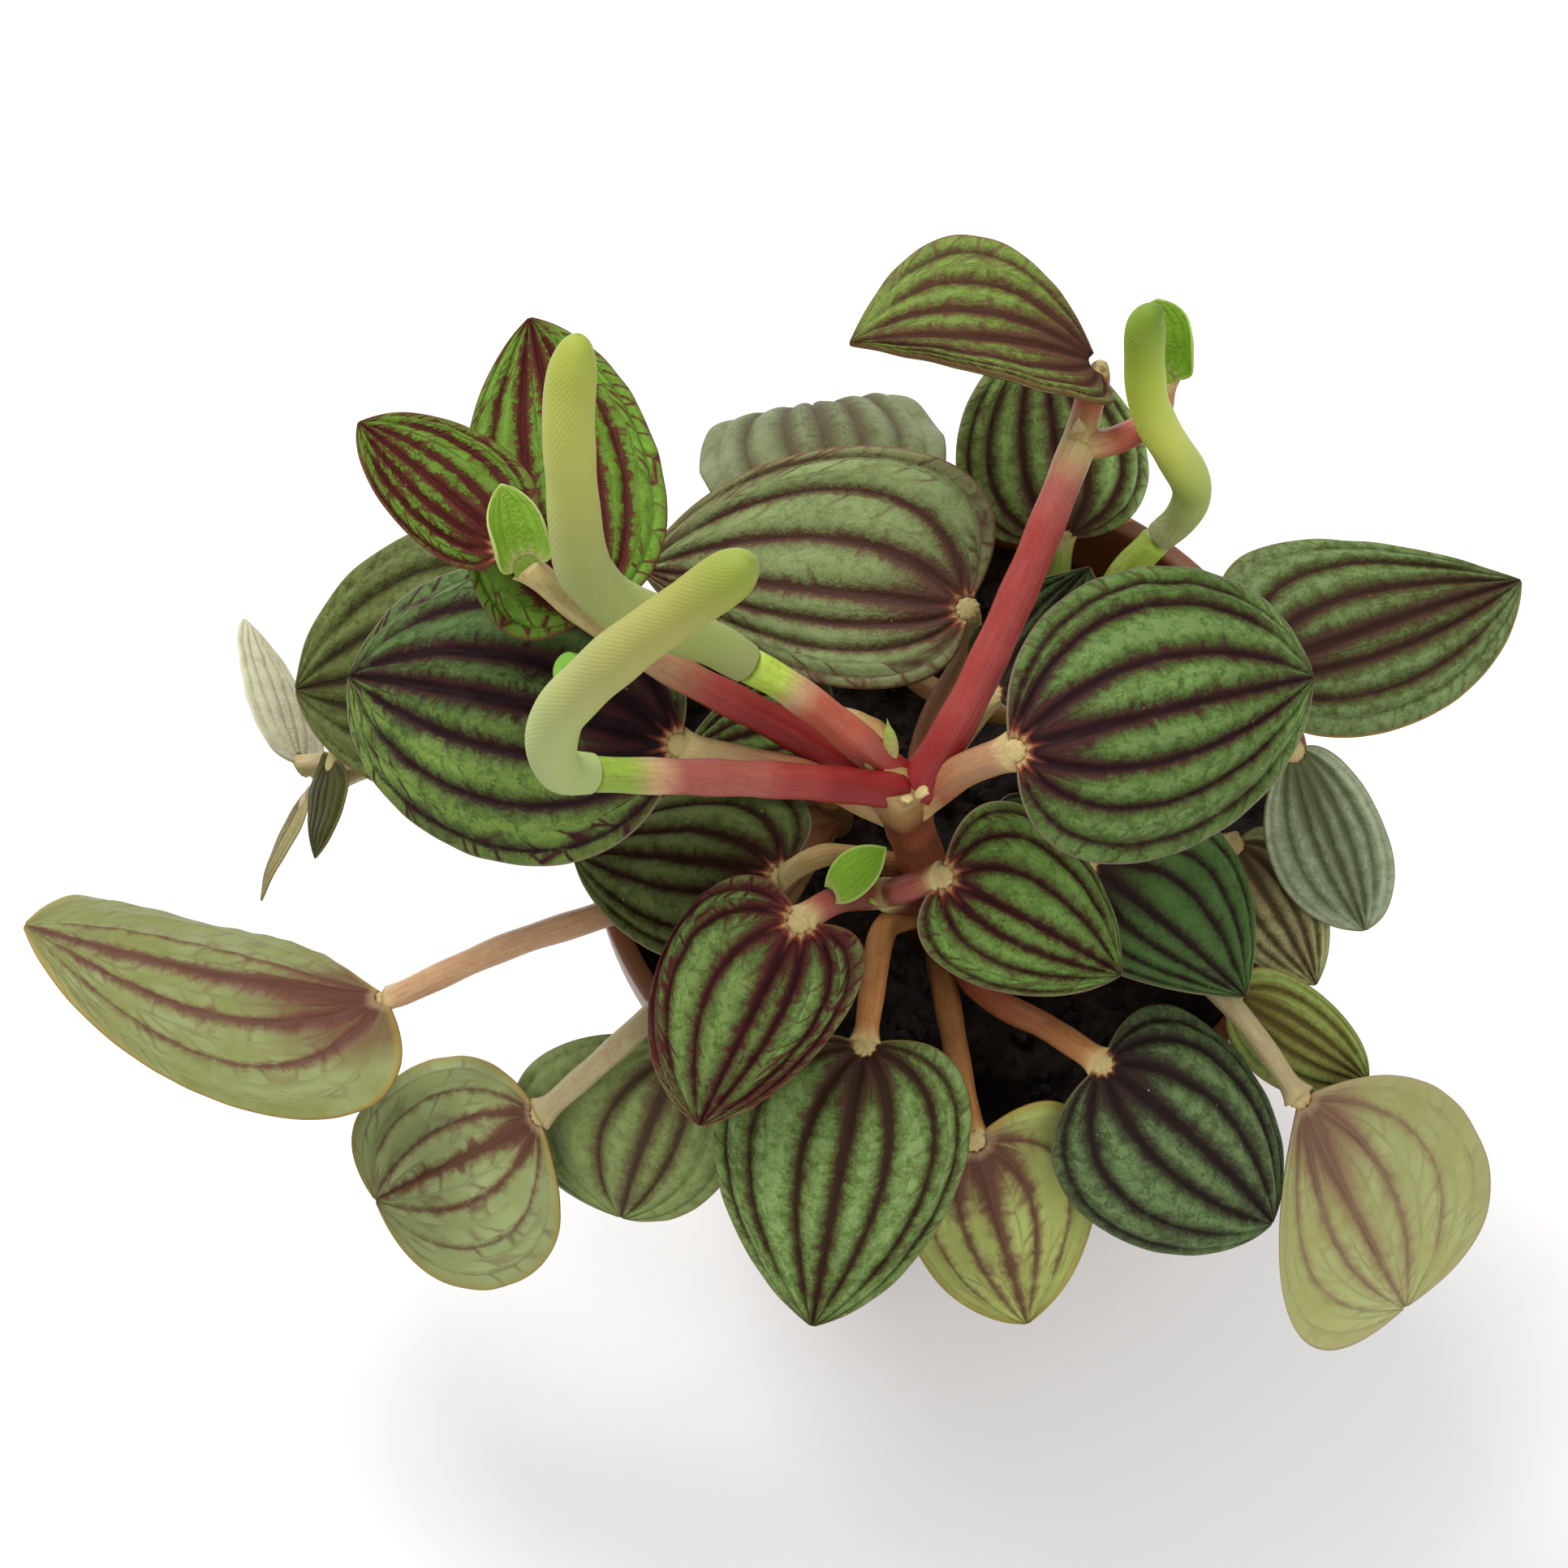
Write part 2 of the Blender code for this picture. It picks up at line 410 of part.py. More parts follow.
def blade_points(shape, across, along, lift):
    """Points of the blade in place: its flat outline, cupped across, arched along, and raised by lift."""
    joint, tip = np.array(shape.joint, float), np.array(shape.tip, float)
    length = np.linalg.norm(tip - joint)
    x, y, notch_x, notch_y = blade_outline(shape, length, across, along)
    margin = np.linspace(0, 1, 41)
    widest = [abs(blade_outline(shape, length, np.full(41, end), margin)[1]).max() for end in (1.0, -1.0)]
    half = of_side(shape.half, across)
    y = y * half / of_side(tuple(widest), across)
    x = x + of_side(shape.skew, across) * y + notch_x
    y = y + notch_y
    wave = shape.wave * np.sin(math.tau * MARGIN_WAVES * along) * np.abs(across) ** 3 * np.sin(math.pi * along)
    radius = half / np.radians(of_side(shape.cup, across))
    y, lift = (radius - lift) * np.sin(y / radius), radius - (radius - lift) * np.cos(y / radius) + wave
    bend = math.radians(shape.arch)
    radius = length / 2 / math.sin(bend / 2)
    turn = (x / length - 0.5) * bend
    x = length / 2 + (radius + lift) * np.sin(turn)
    lift = (radius + lift) * np.cos(turn) - radius * math.cos(bend / 2)
    axis = unit(tip - joint)
    left = unit(np.cross((0, 0, 1), axis))
    face = np.cross(axis, left)
    turn = math.radians(shape.roll)
    left, face = math.cos(turn) * left + math.sin(turn) * face, math.cos(turn) * face - math.sin(turn) * left
    return joint + np.multiply.outer(x, axis) + np.multiply.outer(y, left) + np.multiply.outer(lift, face)


def make_leaf(name, shape):
    """One blade: a ribbed sheet whose grid lines are its veins, the same sheet again below it, and the rim."""
    half = sorted(VEINS[1:] + CRESTS) + [1.0]
    lines = np.array([-value for value in reversed(half)] + [0.0] + half)
    rows = max(4, min(BLADE_ROWS, round(math.dist(shape.joint, shape.tip) / 3)))
    along, across = np.meshgrid(np.arange(rows) / rows, lines, indexing="ij")
    crest = np.isin(np.round(np.abs(across), 2), CRESTS) & (along > 0)
    rib = RIB_HEIGHT * crest * np.sin(math.pi * along) ** 0.5
    points = []
    for depth in (0.0, BLADE_THICKNESS):
        points += list(blade_points(shape, across, along, rib - depth).reshape(-1, 3))
        points += list(blade_points(shape, np.zeros(1), np.ones(1), np.full(1, -depth)))
    columns, tip = len(lines), rows * len(lines)
    upper = []
    for row in range(rows - 1):
        for column in range(columns - 1):
            a = row * columns + column
            b, c, d = a + 1, a + columns, a + columns + 1
            upper += [(a, c, d), (a, d, b)] if column < columns // 2 else [(a, c, b), (b, c, d)]
    upper += [(a, tip, a + 1) for a in range(tip - columns, tip - 1)]
    lower = [tuple(i + tip + 1 for i in reversed(face)) for face in upper]
    outline = [row * columns for row in range(rows)] + [tip] + [row * columns - 1 for row in range(rows, 0, -1)]
    outline += range(columns - 2, 0, -1)
    rim = []
    for a, b in zip(outline, outline[1:] + outline[:1]):
        rim += [(b, a, a + tip + 1), (b, a + tip + 1, b + tip + 1)]
    add_object(name, points, upper + lower + rim, f"leaf_{shape.tone}")


def stalk_tube(stalk):
    """A stem or a leaf stalk, which flares where it meets its leaf."""
    points = list(stalk.points)
    if stalk.leaf:
        points.append(LEAVES[stalk.leaf].joint)
    reach = sum(math.dist(a, b) for a, b in zip(points, points[1:]))
    path = smooth_path(points, max(3, round(reach / STALK_STEP)) + 1)
    radii = list(np.linspace(stalk.start_radius, stalk.end_radius, len(path)))
    if stalk.leaf:
        end, heading = path[-1], unit(path[-1] - path[-2])
        path = np.vstack([path[:-1], [end - heading * FLARE_LENGTH, end]])
        radii = radii[:-1] + [stalk.end_radius, JOINT_FLARE]
    return tube(path, radii, STALK_SIDES)


def make_shoot(name, stalks):
    """One shoot: its stem with its leaf stalks and flower stalks joined to it."""
    branches = bpy.data.collections.new(f"{name}_branches")
    bpy.context.scene.collection.children.link(branches)
    shoot = add_object(name, *stalk_tube(stalks[0]), "stem_red")
    for i, stalk in enumerate(stalks[1:]):
        add_object(f"{name}_{i}", *stalk_tube(stalk), "stem_red", branches)
    boolean(shoot, "UNION", collection=branches)


def make_spike(name, points, radius, steps, relief):
    """A fleshy flower spike covered with tiny florets, or a smooth bud, rounded off at its tip."""
    path = smooth_path(points, steps + 1)
    share = np.linspace(0, 1, len(path))
    end = np.clip((share - SPIKE_TAPER) / (1 - SPIKE_TAPER), 0, 0.95)
    radii = radius * (0.75 + 0.25 * np.minimum(1, share * 4)) * (1 - 0.12 * share) * np.sqrt(1 - end**2)
    add_object(name, *tube(path, radii, SPIKE_SIDES, relief), "spike_green")


def make_plant():
    for name in [existing.name for existing in bpy.data.objects]:
        bpy.data.objects.remove(bpy.data.objects[name])
    make_pot()
    make_soil()
    for name, stalks in SHOOTS.items():
        make_shoot(name, stalks)
    for name, shape in LEAVES.items():
        make_leaf(name, shape)
    for name, points in SPIKES.items():
        make_spike(name, points, SPIKE_RADII[name], SPIKE_STEPS, FLORET_RELIEF)
    for name, points in BUDS.items():
        make_spike(name, points, BUD_RADIUS, BUD_STEPS, 0.0)


make_plant()
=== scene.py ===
# A potted peperomia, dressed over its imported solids: leaves with dark feathered veins, red stalks,
# curled flower spikes, damp soil and a small brown nursery pot. Sizes in the tables are in millimetres.
import math
from types import SimpleNamespace

import bpy
import numpy as np
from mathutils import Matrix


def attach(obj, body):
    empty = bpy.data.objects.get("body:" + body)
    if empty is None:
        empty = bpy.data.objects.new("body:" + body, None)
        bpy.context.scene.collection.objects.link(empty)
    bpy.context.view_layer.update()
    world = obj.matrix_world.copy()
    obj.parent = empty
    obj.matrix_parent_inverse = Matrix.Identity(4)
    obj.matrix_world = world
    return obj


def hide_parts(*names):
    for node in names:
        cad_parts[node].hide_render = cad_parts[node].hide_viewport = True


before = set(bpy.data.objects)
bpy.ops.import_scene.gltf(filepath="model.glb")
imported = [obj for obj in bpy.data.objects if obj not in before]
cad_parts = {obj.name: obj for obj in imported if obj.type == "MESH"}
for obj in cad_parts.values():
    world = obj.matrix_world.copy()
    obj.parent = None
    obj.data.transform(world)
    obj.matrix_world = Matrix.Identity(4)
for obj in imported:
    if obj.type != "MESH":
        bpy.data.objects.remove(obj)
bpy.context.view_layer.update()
mm = 0.001


def report(stage):
    print(f"peperomia: {stage}")


def leaf(joint, tip, half, **given):
    # roll turns the blade about its midrib, arch bends it and cup lifts its margins, in degrees; lobes and
    # point are the margin's angles at joint and tip, reach and blunt how long it keeps to them, and skew
    # draws its sides to the tip; a pair is for the left and right half; face and back name its looks and
    # bands its plan; relief, pad and slim are shares of the usual relief, knot and stalk end
    shape = dict(roll=0, arch=25, cup=-25, lobes=102, point=62, reach=0.62, blunt=0.6, skew=0.0, wave=0.0,
                 tone="mature", face="plain", back="under", bands="usual", relief=1.0, pad=1.0, slim=1.0)
    shape.update(given)
    return SimpleNamespace(joint=np.array(joint, float), tip=np.array(tip, float), half=half, **shape)


def stalk(colours, startRadius, endRadius, leafName, points):
    # the colours run from foot to end; one with no leaf carries other stalks or a flower spike
    return SimpleNamespace(colours=colours, startRadius=startRadius, endRadius=endRadius, leaf=leafName,
                           points=points)


# Where everything grows: the same places as the solids have
leaves = {
    # The crown, highest and nearest the eye
    "leaf_01": leaf((4.6, -7.6, 104), (34.4, 2.3, 98), (15.5, 14), roll=14, arch=42, cup=-34,
        lobes=(98, 91), point=(78, 82), blunt=(0.6, 0.68), skew=0.24, face="crisp",
        bands=((1, 0.85, 0.6, 0.25), (1.15, 0.75, 0.45, 0.2))),
    "leaf_04": leaf((-27.3, -5.9, 101), (-60.3, 4.4, 93), (15.5, 16.5), roll=-8, arch=42, cup=-34,
        lobes=(92, 88), point=(80, 88), blunt=(0.6, 0.7), face="broad",
        bands=((1.4, 0.85, 0.55, 0.25), (1.4, 1.3, 0.8, -1))),
    "leaf_06": leaf((-35.3, 3.4, 112), (-41.9, 33.9, 113), (10.8, 9.6), arch=15, cup=(-15, -25),
        lobes=(112, 84), point=(58, 72), tone="young", face="young", bands=(1.15, 1, 0.45, -1)),
    "leaf_07": leaf((-43, 7.2, 119), (-57.6, 20.4, 118), (5.2, 7.3), arch=15, cup=-20, lobes=96, point=70,
        tone="young", face="young", bands=(0.95, 0.72, 0.55, 0.2)),
    "leaf_08": leaf((13.2, 28.4, 114), (-11.1, 30.9, 113), (5.8, 11.8), roll=12, arch=45, cup=(25, 10),
        lobes=(100, 50), point=(28, 80), reach=(0.5, 0.55), blunt=(0.35, 0.62), skew=(-0.4, 0.16),
        tone="young", face="fresh", pad=0.3, slim=0.3),
    "young_leaf_left": leaf((-41, 3.5, 122.5), (-43.2, 9.6, 128), 3.4, arch=10, cup=80, lobes=85,
        tone="young", face="bud", back="pod", bands="faint", relief=0.15),
    "young_leaf_right": leaf((19, 26.6, 113.5), (18.3, 32.6, 119.5), 4.3, arch=10, cup=98, lobes=80,
        point=75, tone="young", face="lime", back="pod", bands="faint", relief=0.15),
    "young_leaf_front": leaf((-13.2, -17.6, 89.2), (-7.4, -14.2, 95), 2.2, arch=10, cup=20, lobes=55,
        tone="young", face="lime", back="pod", bands="faint", relief=0.15),
    "leaf_10": leaf((1.1, 12.8, 90), (-32, 20, 83), (9.2, 15), roll=-22, arch=20, cup=8, lobes=(92, 112),
        point=(60, 68), reach=(0.62, 0.72), face="veiledSheen",
        bands=((0.95, 0.62, 0.3, -1), (0.95, 0.85, 0.55, -1)), slim=0.5),
    "leaf_26": leaf((-12.3, 4.4, 82), (-27.5, 1.6, 78), 6, cup=-20, tone="young", face="bright"),
    "leaf_12": leaf((3.4, 4.6, 87.5), (13.4, 17, 91), (5, 8.5), roll=-25, arch=15, cup=20, wave=0.8,
        face="shade"),
    # The side shoot, in front
    "leaf_02": leaf((-15.8, -20.1, 90), (-25.6, -38, 80), (8.2, 11.2), cup=-22, lobes=(108, 136),
        point=(66, 74), reach=(0.75, 0.64), blunt=(0.6, 0.56), skew=-0.12, face="purple"),
    "leaf_03": leaf((-1.9, -15.8, 91), (16.1, -23.4, 83), (11, 8), roll=4, lobes=104, point=60,
        face="bright"),
    # The middle tier
    "leaf_05": leaf((-35, 10.5, 84), (-67.6, 9.5, 76), (13.8, 16.8), roll=-10, arch=30, lobes=98,
        point=80, face="rear", bands="few"),
    "leaf_09": leaf((12.1, 29, 70), (8.5, 41, 95), (10.2, 10.7), arch=15, cup=-22, lobes=(94, 112),
        point=(80, 50), reach=(0.62, 0.7), face="back"),
    "leaf_13": leaf((29, 7.9, 84), (58.6, 20.1, 80), (12, 10.4), roll=9, cup=-16, lobes=(96, 84),
        point=(34, 76), reach=(0.62, 0.6), blunt=(0.6, 0.75), skew=(0.04, 0.12), bands="few"),
    "leaf_16": leaf((12.8, -11.7, 83), (28.8, -24.2, 78), (12.5, 8), roll=-4, cup=-20, point=50, skew=0.2,
        face="shade"),
    "leaf_22": leaf((-9.3, -29.3, 79), (-14.5, -55.1, 67), (12.4, 14), arch=35, cup=-28, lobes=(112, 100),
        point=(64, 58), face="front"),
    "leaf_25": leaf((-17.5, -12.1, 80), (-38.9, -7.5, 74), (10.5, 11), roll=8, cup=-22, lobes=(100, 114),
        reach=(0.62, 0.72), face="shadowed"),
    # The lowest tier, over and outside the rim
    "leaf_11": leaf((-10.2, 24.4, 75), (-14.4, 49, 58), (13.8, 12.5), arch=95, cup=-15, lobes=95,
        point=84, blunt=0.75, wave=1, face="hazySheen", bands="few"),
    "leaf_14": leaf((34.2, 1, 81), (42.2, -14.4, 69.4), (5.8, 6.4), roll=10, cup=-20, lobes=(88, 70),
        point=(88, 74), blunt=(0.85, 0.66), face="grey", bands="few", relief=0.8),
    "leaf_15": leaf((28.8, -5.6, 71.2), (37.2, -19.7, 67.7), (6, 6), cup=-12, point=66, face="olive",
        bands="few"),
    "leaf_17": leaf((14.3, -30.7, 77), (32.3, -43.5, 63), (12.8, 13.3), arch=45, cup=-45, lobes=104,
        point=74, face="dark"),
    "leaf_18": leaf((34.6, -32.1, 70), (45.6, -51.8, 61), (10.8, 16.4), roll=182, cup=(8, 25),
        lobes=(35, 80), point=(104, 84), blunt=0.75, tone="pale", back="palest", bands=(1.7, 1, 0.5, -1),
        relief=0.6),
    "leaf_19": leaf((-57.9, -20.7, 66), (-97, -10.8, 60), (17, 15), roll=208, arch=20, cup=(62, 30),
        lobes=(34, 124), point=(82, 56), reach=(0.45, 0.75), blunt=(0.85, 0.6), tone="pale", back="wing",
        bands=((2, 0.4, -1, -1), (2, 1.2, 0.7, -1)), relief=0.6),
    "leaf_20": leaf((-42.1, -32, 63), (-60, -38, 51), (12, 14), roll=172, arch=40, cup=30, lobes=(74, 72),
        point=(94, 91), skew=(0.2, 0), tone="pale", bands=(2, 0.95, 0.3, -1)),
    "leaf_21": leaf((-27.2, -27.4, 72), (-34, -41.4, 57), (9.5, 16.5), roll=8, arch=35, cup=(-10, -20),
        lobes=(95, 84), point=(80, 104), blunt=(0.6, 0.8), skew=-0.15, face="low",
        bands=(1.1, 0.7, -1, -1)),
    "leaf_23": leaf((1.7, -37.2, 72.2), (7.4, -53.2, 60), (9.4, 11.2), roll=191, cup=(25, 8),
        lobes=(100, 124), point=(76, 66), reach=(0.62, 0.75), tone="pale", back="cell",
        bands=(1.8, 1.1, 0.5, -1)),
    "leaf_24": leaf((28.2, -21.9, 71), (42.6, -28.9, 64), (5, 5.4), roll=20, cup=-12, lobes=(102, 80),
        point=(72, 80), face="gold", bands="few"),
    "leaf_27": leaf((-67.8, 5.6, 64.4), (-75.4, 24.8, 58), 7, roll=66, cup=-15, tone="pale", face="ghost",
        back="ghostly", bands="faint", relief=0.4),
    "leaf_28": leaf((3.6, -4.6, 75), (10, -8, 75.5), 4.5, cup=-15, face="shade"),
    "leaf_29": leaf((-67.9, 3.2, 61), (-73, -6, 54), 4, roll=66, cup=-15, tone="pale", face="straw",
        bands="faint", relief=0.4),
    "leaf_30": leaf((-64.2, 3.6, 71.4), (-66, -5.4, 66), 5, roll=60, cup=-20, face="moss", bands="faint",
        relief=0.4),
}

shoots = {
    "main_stem": [
        stalk("brown brown plum plum clay clay clay plum olive", 2.6, 2.3, None, [(-1.5, -10.3, 45.8),
              (-1.9, -10.7, 68), (-4, -10.2, 84), (-6.2, -10.2, 98), (-6, -10, 100.6)]),
        stalk("crimson crimson crimson crimson scarlet scarlet rose rose rose rose peach lime lime",
              1.8, 1.7, None, [(-6.2, -9.9, 99), (-14.7, -11.2, 105), (-22.3, -12.6, 110),
              (-30.5, -14.2, 115), (-34.6, -14.6, 116.5)]),
        stalk("crimson scarlet rose coral coral coral peach neon neon", 1.8, 1.7, None, [(-6.2, -8, 98),
              (-12.3, -4.7, 104), (-17.4, -2.6, 109), (-20.4, -1.6, 111)]),
        stalk("crimson crimson crimson crimson scarlet salmon cream", 1.8, 1.6, None, [(-6.4, -9.2, 95),
              (-16.5, -3.8, 99), (-27, -0.6, 106), (-33, 1.6, 110.5)]),
        stalk("salmon straw", 1.5, 1.3, "leaf_06", [(-32.6, 1.4, 110), (-34.4, 2.4, 111.2)]),
        stalk("salmon straw", 1.3, 1.1, "leaf_07", [(-32.6, 1.4, 110), (-38.5, 4.4, 115)]),
        stalk("salmon cream cream", 1.2, 1, "young_leaf_left", [(-32.6, 1.4, 110), (-36, 1.4, 116),
              (-39.3, 2.4, 121)]),
        stalk("crimson crimson scarlet scarlet scarlet scarlet scarlet rose cream", 2, 1.7, None,
              [(-5, -9.8, 98), (0, -2.6, 101.5), (6, 9.6, 106), (11.2, 21.9, 110)]),
        stalk("cream coral coral", 1.6, 1.3, "leaf_08", [(11, 21.5, 109.8), (12.4, 26.6, 110.3)]),
        stalk("cream coral coral salmon", 1.5, 1.1, "young_leaf_right", [(11, 21.5, 109.8),
              (15.2, 22.6, 109.4), (18.8, 24.4, 111)]),
        stalk("cream orange salmon salmon", 1.9, 1.6, "leaf_01", [(-4.6, -9.8, 95), (-0.5, -8.3, 100)]),
        stalk("cream orange salmon cream", 1.7, 1.4, "leaf_04", [(-6.5, -9.6, 92), (-14.6, -7.6, 97),
              (-22, -6.6, 99)]),
        stalk("plum orange salmon cream", 1.4, 1.2, "leaf_10", [(-3.6, -8.6, 80), (-3, 3, 78),
              (1.2, 11, 82), (1.5, 12.7, 86)]),
        stalk("plum ochre cream", 1.3, 1.1, "leaf_26", [(-6, -9, 90), (-7.6, -1, 89), (-9.5, 2, 86)]),
        stalk("plum rose ochre cream", 1.3, 1.2, "leaf_12", [(-4.4, -8.8, 90), (-0.8, -1.5, 87)]),
        stalk("plum ochre cream", 1.3, 1.1, "leaf_25", [(-3.2, -10, 76), (-11.2, -10.1, 80.5),
              (-14, -10.8, 82)]),
        stalk("brown plum plum plum cream", 1.7, 1.6, None, [(-2.2, -10.6, 68), (-4.4, -13.5, 77),
              (-6.9, -15.5, 84), (-7.2, -15.8, 86)]),
        stalk("cream plum rose rose orange cream", 1.5, 1.2, "leaf_03", [(-7.2, -15.8, 85.5),
              (-4.6, -16.2, 89)]),
        stalk("cream plum plum rose cream", 1.6, 1.3, "leaf_02", [(-7.2, -15.5, 85), (-12, -17.2, 88)]),
        stalk("brown amber flame flame", 1.5, 1.2, "leaf_22", [(-2, -10.5, 64), (-6.9, -15.4, 74),
              (-8.2, -21.7, 78)]),
        stalk("brown amber amber flame", 1.5, 1.2, "leaf_23", [(-1.6, -10.9, 60), (-0.7, -21.1, 68),
              (0.6, -31, 71.3)]),
        stalk("brown coral orange flame", 1.5, 1.3, "leaf_17", [(-1.6, -10.9, 61), (3.2, -21.6, 71),
              (9.1, -26.4, 75)]),
    ],
    "right_shoot": [
        stalk("brown plum ochre", 2.4, 1.9, None, [(12, -3, 45.8), (12.2, -3, 60), (12.5, -3, 68)]),
        stalk("brown ochre cream", 1.3, 1.2, "leaf_16", [(12.4, -3.2, 66), (12, -8, 76)]),
        stalk("ochre straw straw", 1.3, 1.1, "leaf_24", [(12.3, -3.4, 61), (18.5, -12.5, 66),
              (24.5, -18, 69.5)]),
        stalk("orange salmon straw straw", 1.3, 1.1, "leaf_18", [(12.4, -3.4, 64), (19, -14.5, 72.5),
              (27.8, -24.2, 75)]),
        stalk("ochre ochre straw", 1.3, 1, "leaf_15", [(12.5, -3, 60), (20, -4, 67), (25, -4.8, 69)]),
        stalk("ochre ochre straw", 1.3, 1.1, "leaf_14", [(12.5, -2.8, 64), (23, 0.5, 74),
              (30.5, 1, 79.5)]),
        stalk("ochre ochre straw", 1.4, 1.2, "leaf_13", [(12.5, -2.6, 66), (20, 2.5, 78)]),
        stalk("ochre ochre", 1.2, 1.1, "leaf_28", [(12.2, -3.4, 66), (6, -4, 71)]),
    ],
    "back_shoot": [
        stalk("brown ochre ochre", 2.2, 1.8, None, [(9, 12, 45.8), (9.2, 12, 60), (9.5, 12.2, 64)]),
        stalk("ochre ochre flame neon neon", 1.7, 1.6, None, [(9.4, 12.2, 62), (13, 12.5, 76),
              (16.2, 15.5, 90), (19.6, 17.8, 95.6)]),
        stalk("ochre straw lime", 1.3, 1.2, "leaf_09", [(9.4, 12.4, 60), (11.4, 23, 63)]),
        stalk("ochre ochre straw", 1.3, 1.2, "leaf_11", [(9.2, 12.2, 60), (-2, 12, 70), (-7.5, 17, 74)]),
    ],
    "left_shoot": [
        stalk("brown ochre ochre", 2.2, 1.8, None, [(-12, 2, 45.8), (-12, 2, 60), (-12.4, 2, 66)]),
        stalk("ochre ochre straw", 1.4, 1.2, "leaf_05", [(-12.4, 2.2, 64), (-20, 8, 72), (-29, 9.5, 80)]),
        stalk("ochre salmon straw", 1.4, 1.1, "leaf_27", [(-12.3, 2, 62), (-36, 3, 72), (-56, 5, 69)]),
        stalk("straw straw", 1.1, 1, "leaf_29", [(-56, 5, 69), (-62, 4.6, 65)]),
        stalk("straw straw", 1.1, 1, "leaf_30", [(-52, 4.6, 70), (-58, 4.4, 71)]),
        stalk("tan salmon peach peach", 1.6, 1.3, "leaf_19", [(-12.3, 1.8, 61), (-24, -8, 71),
              (-34.7, -13.4, 73), (-45.9, -16.7, 71)]),
        stalk("orange salmon straw straw", 1.5, 1.2, "leaf_20", [(-12.1, 1.6, 60), (-20, -13, 71),
              (-31, -25.6, 75)]),
        stalk("ochre ochre straw", 1.3, 1.2, "leaf_21", [(-12.1, 1.6, 58), (-20, -15, 68)]),
    ],
}

spikes = {
    "spike_left": [(-35.1, -14.6, 116.8), (-37.6, -15, 118.8), (-38.4, -14.2, 122.6), (-37.6, -12.8, 127),
                   (-35.2, -11.6, 131), (-32.2, -10.4, 135), (-28.8, -9.3, 139), (-22.2, -7.7, 147),
                   (-20.1, -7.3, 150)],
    "spike_centre": [(-20.9, -1.5, 111.4), (-23.8, -0.7, 114), (-27.5, -0.5, 117.5), (-31.6, -0.2, 121),
                     (-34.4, 0.7, 125), (-35.9, 2.4, 129), (-36.4, 8.3, 139), (-36.2, 12, 143),
                     (-35.3, 15.5, 147)],
    "spike_right": [(20.1, 18.1, 96.1), (21.8, 18.9, 98.4), (22.6, 19.5, 102), (22.1, 19.9, 106),
                    (20.1, 20.6, 111), (18.1, 21.3, 116), (16.8, 22.4, 121), (16.1, 24.3, 130),
                    (17.1, 25.1, 133)],
}
spikeRadii = {"spike_left": 2.6, "spike_centre": 2.6, "spike_right": 2.1}
buds = {"bud_left": [(-34.6, -1, 108.6), (-36.4, -2, 110), (-38, -2.3, 112)]}
budRadius = 1.9


def addObject(name, data):
    # a new object in the scene's own collection
    made = bpy.data.objects.new(name, data)
    bpy.context.scene.collection.objects.link(made)
    return made


def makePiece(name, points, faces, finishes, stands=(), faceFinish=None, attributes=None):
    # points is (n, 3) in mm, faces is a list of index lists, attributes holds one (n, 3) array a name
    mesh = bpy.data.meshes.new(name)
    mesh.from_pydata(np.asarray(points, float).reshape(-1, 3) * mm, [], faces)
    for finish in finishes:
        mesh.materials.append(finish)
    if faceFinish is not None:
        mesh.polygons.foreach_set("material_index", np.asarray(faceFinish, np.int32))
    for key, values in (attributes or {}).items():
        layer = mesh.attributes.new(key, "FLOAT_VECTOR", "POINT")
        layer.data.foreach_set("vector", np.asarray(values, np.float32).reshape(-1))
    mesh.shade_smooth()
    mesh.update()
    piece = addObject(name, mesh)
    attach(piece, "root")
    if stands:
        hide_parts(*stands)
    return piece


def gridFaces(rows, columns, ring=False, first=0, flip=False):
    # quads (r, c) (r, c+1) (r+1, c+1) (r+1, c) of a grid; a ring joins its last column to its first
    r, c = np.meshgrid(np.arange(rows - 1), np.arange(columns if ring else columns - 1), indexing="ij")
    n = (c + 1) % columns
    quads = np.stack([r * columns + c, r * columns + n, (r + 1) * columns + n, (r + 1) * columns + c], -1)
    quads = quads.reshape(-1, 4) + first
    return quads[:, ::-1] if flip else quads


def tubeFaces(rings, sides):
    # quads of the wall and a fan of triangles at each end, round the two last points
    last = rings * sides
    j = np.arange(sides)
    n = (j + 1) % sides
    fans = np.concatenate([np.stack([n, j, np.full(sides, last)], -1),
                           np.stack([j + last - sides, n + last - sides, np.full(sides, last + 1)], -1)])
    return gridFaces(rings, sides, ring=True).tolist() + fans.tolist()


def perPoint(values, sides):
    # one value for each ring of a tube, given to all its points and to the two end points
    return np.concatenate([np.repeat(values, sides, axis=0), values[:1], values[-1:]])


def unitRows(a):
    # each row over its length
    return a / np.maximum(np.linalg.norm(a, axis=-1, keepdims=True), 1e-9)


def runSoFar(points, axis=0):
    # mm from the first point along one axis of a row or a grid of points
    steps = np.linalg.norm(np.diff(points, axis=axis), axis=-1)
    return np.insert(np.cumsum(steps, axis=axis), 0, 0, axis=axis)


def ripple(points, size, seed, waves=7):
    # soft noise from about -1 to 1: a mean of sines of the points along random directions
    rng = np.random.default_rng(seed)
    ways = unitRows(rng.normal(size=(waves, 3))) * rng.uniform(0.7, 1.5, (waves, 1)) * math.tau / size
    total = np.sin(np.asarray(points) @ ways.T + rng.uniform(0, math.tau, waves)).sum(-1)
    return total / math.sqrt(waves) / 1.2


def blendColours(stops, share):
    # the colours stand at even places from 0 to 1, and are mixed between them
    stops = np.array(stops)
    at = np.linspace(0, 1, len(stops))
    return np.stack([np.interp(share, at, stops[:, i]) for i in range(3)], -1)


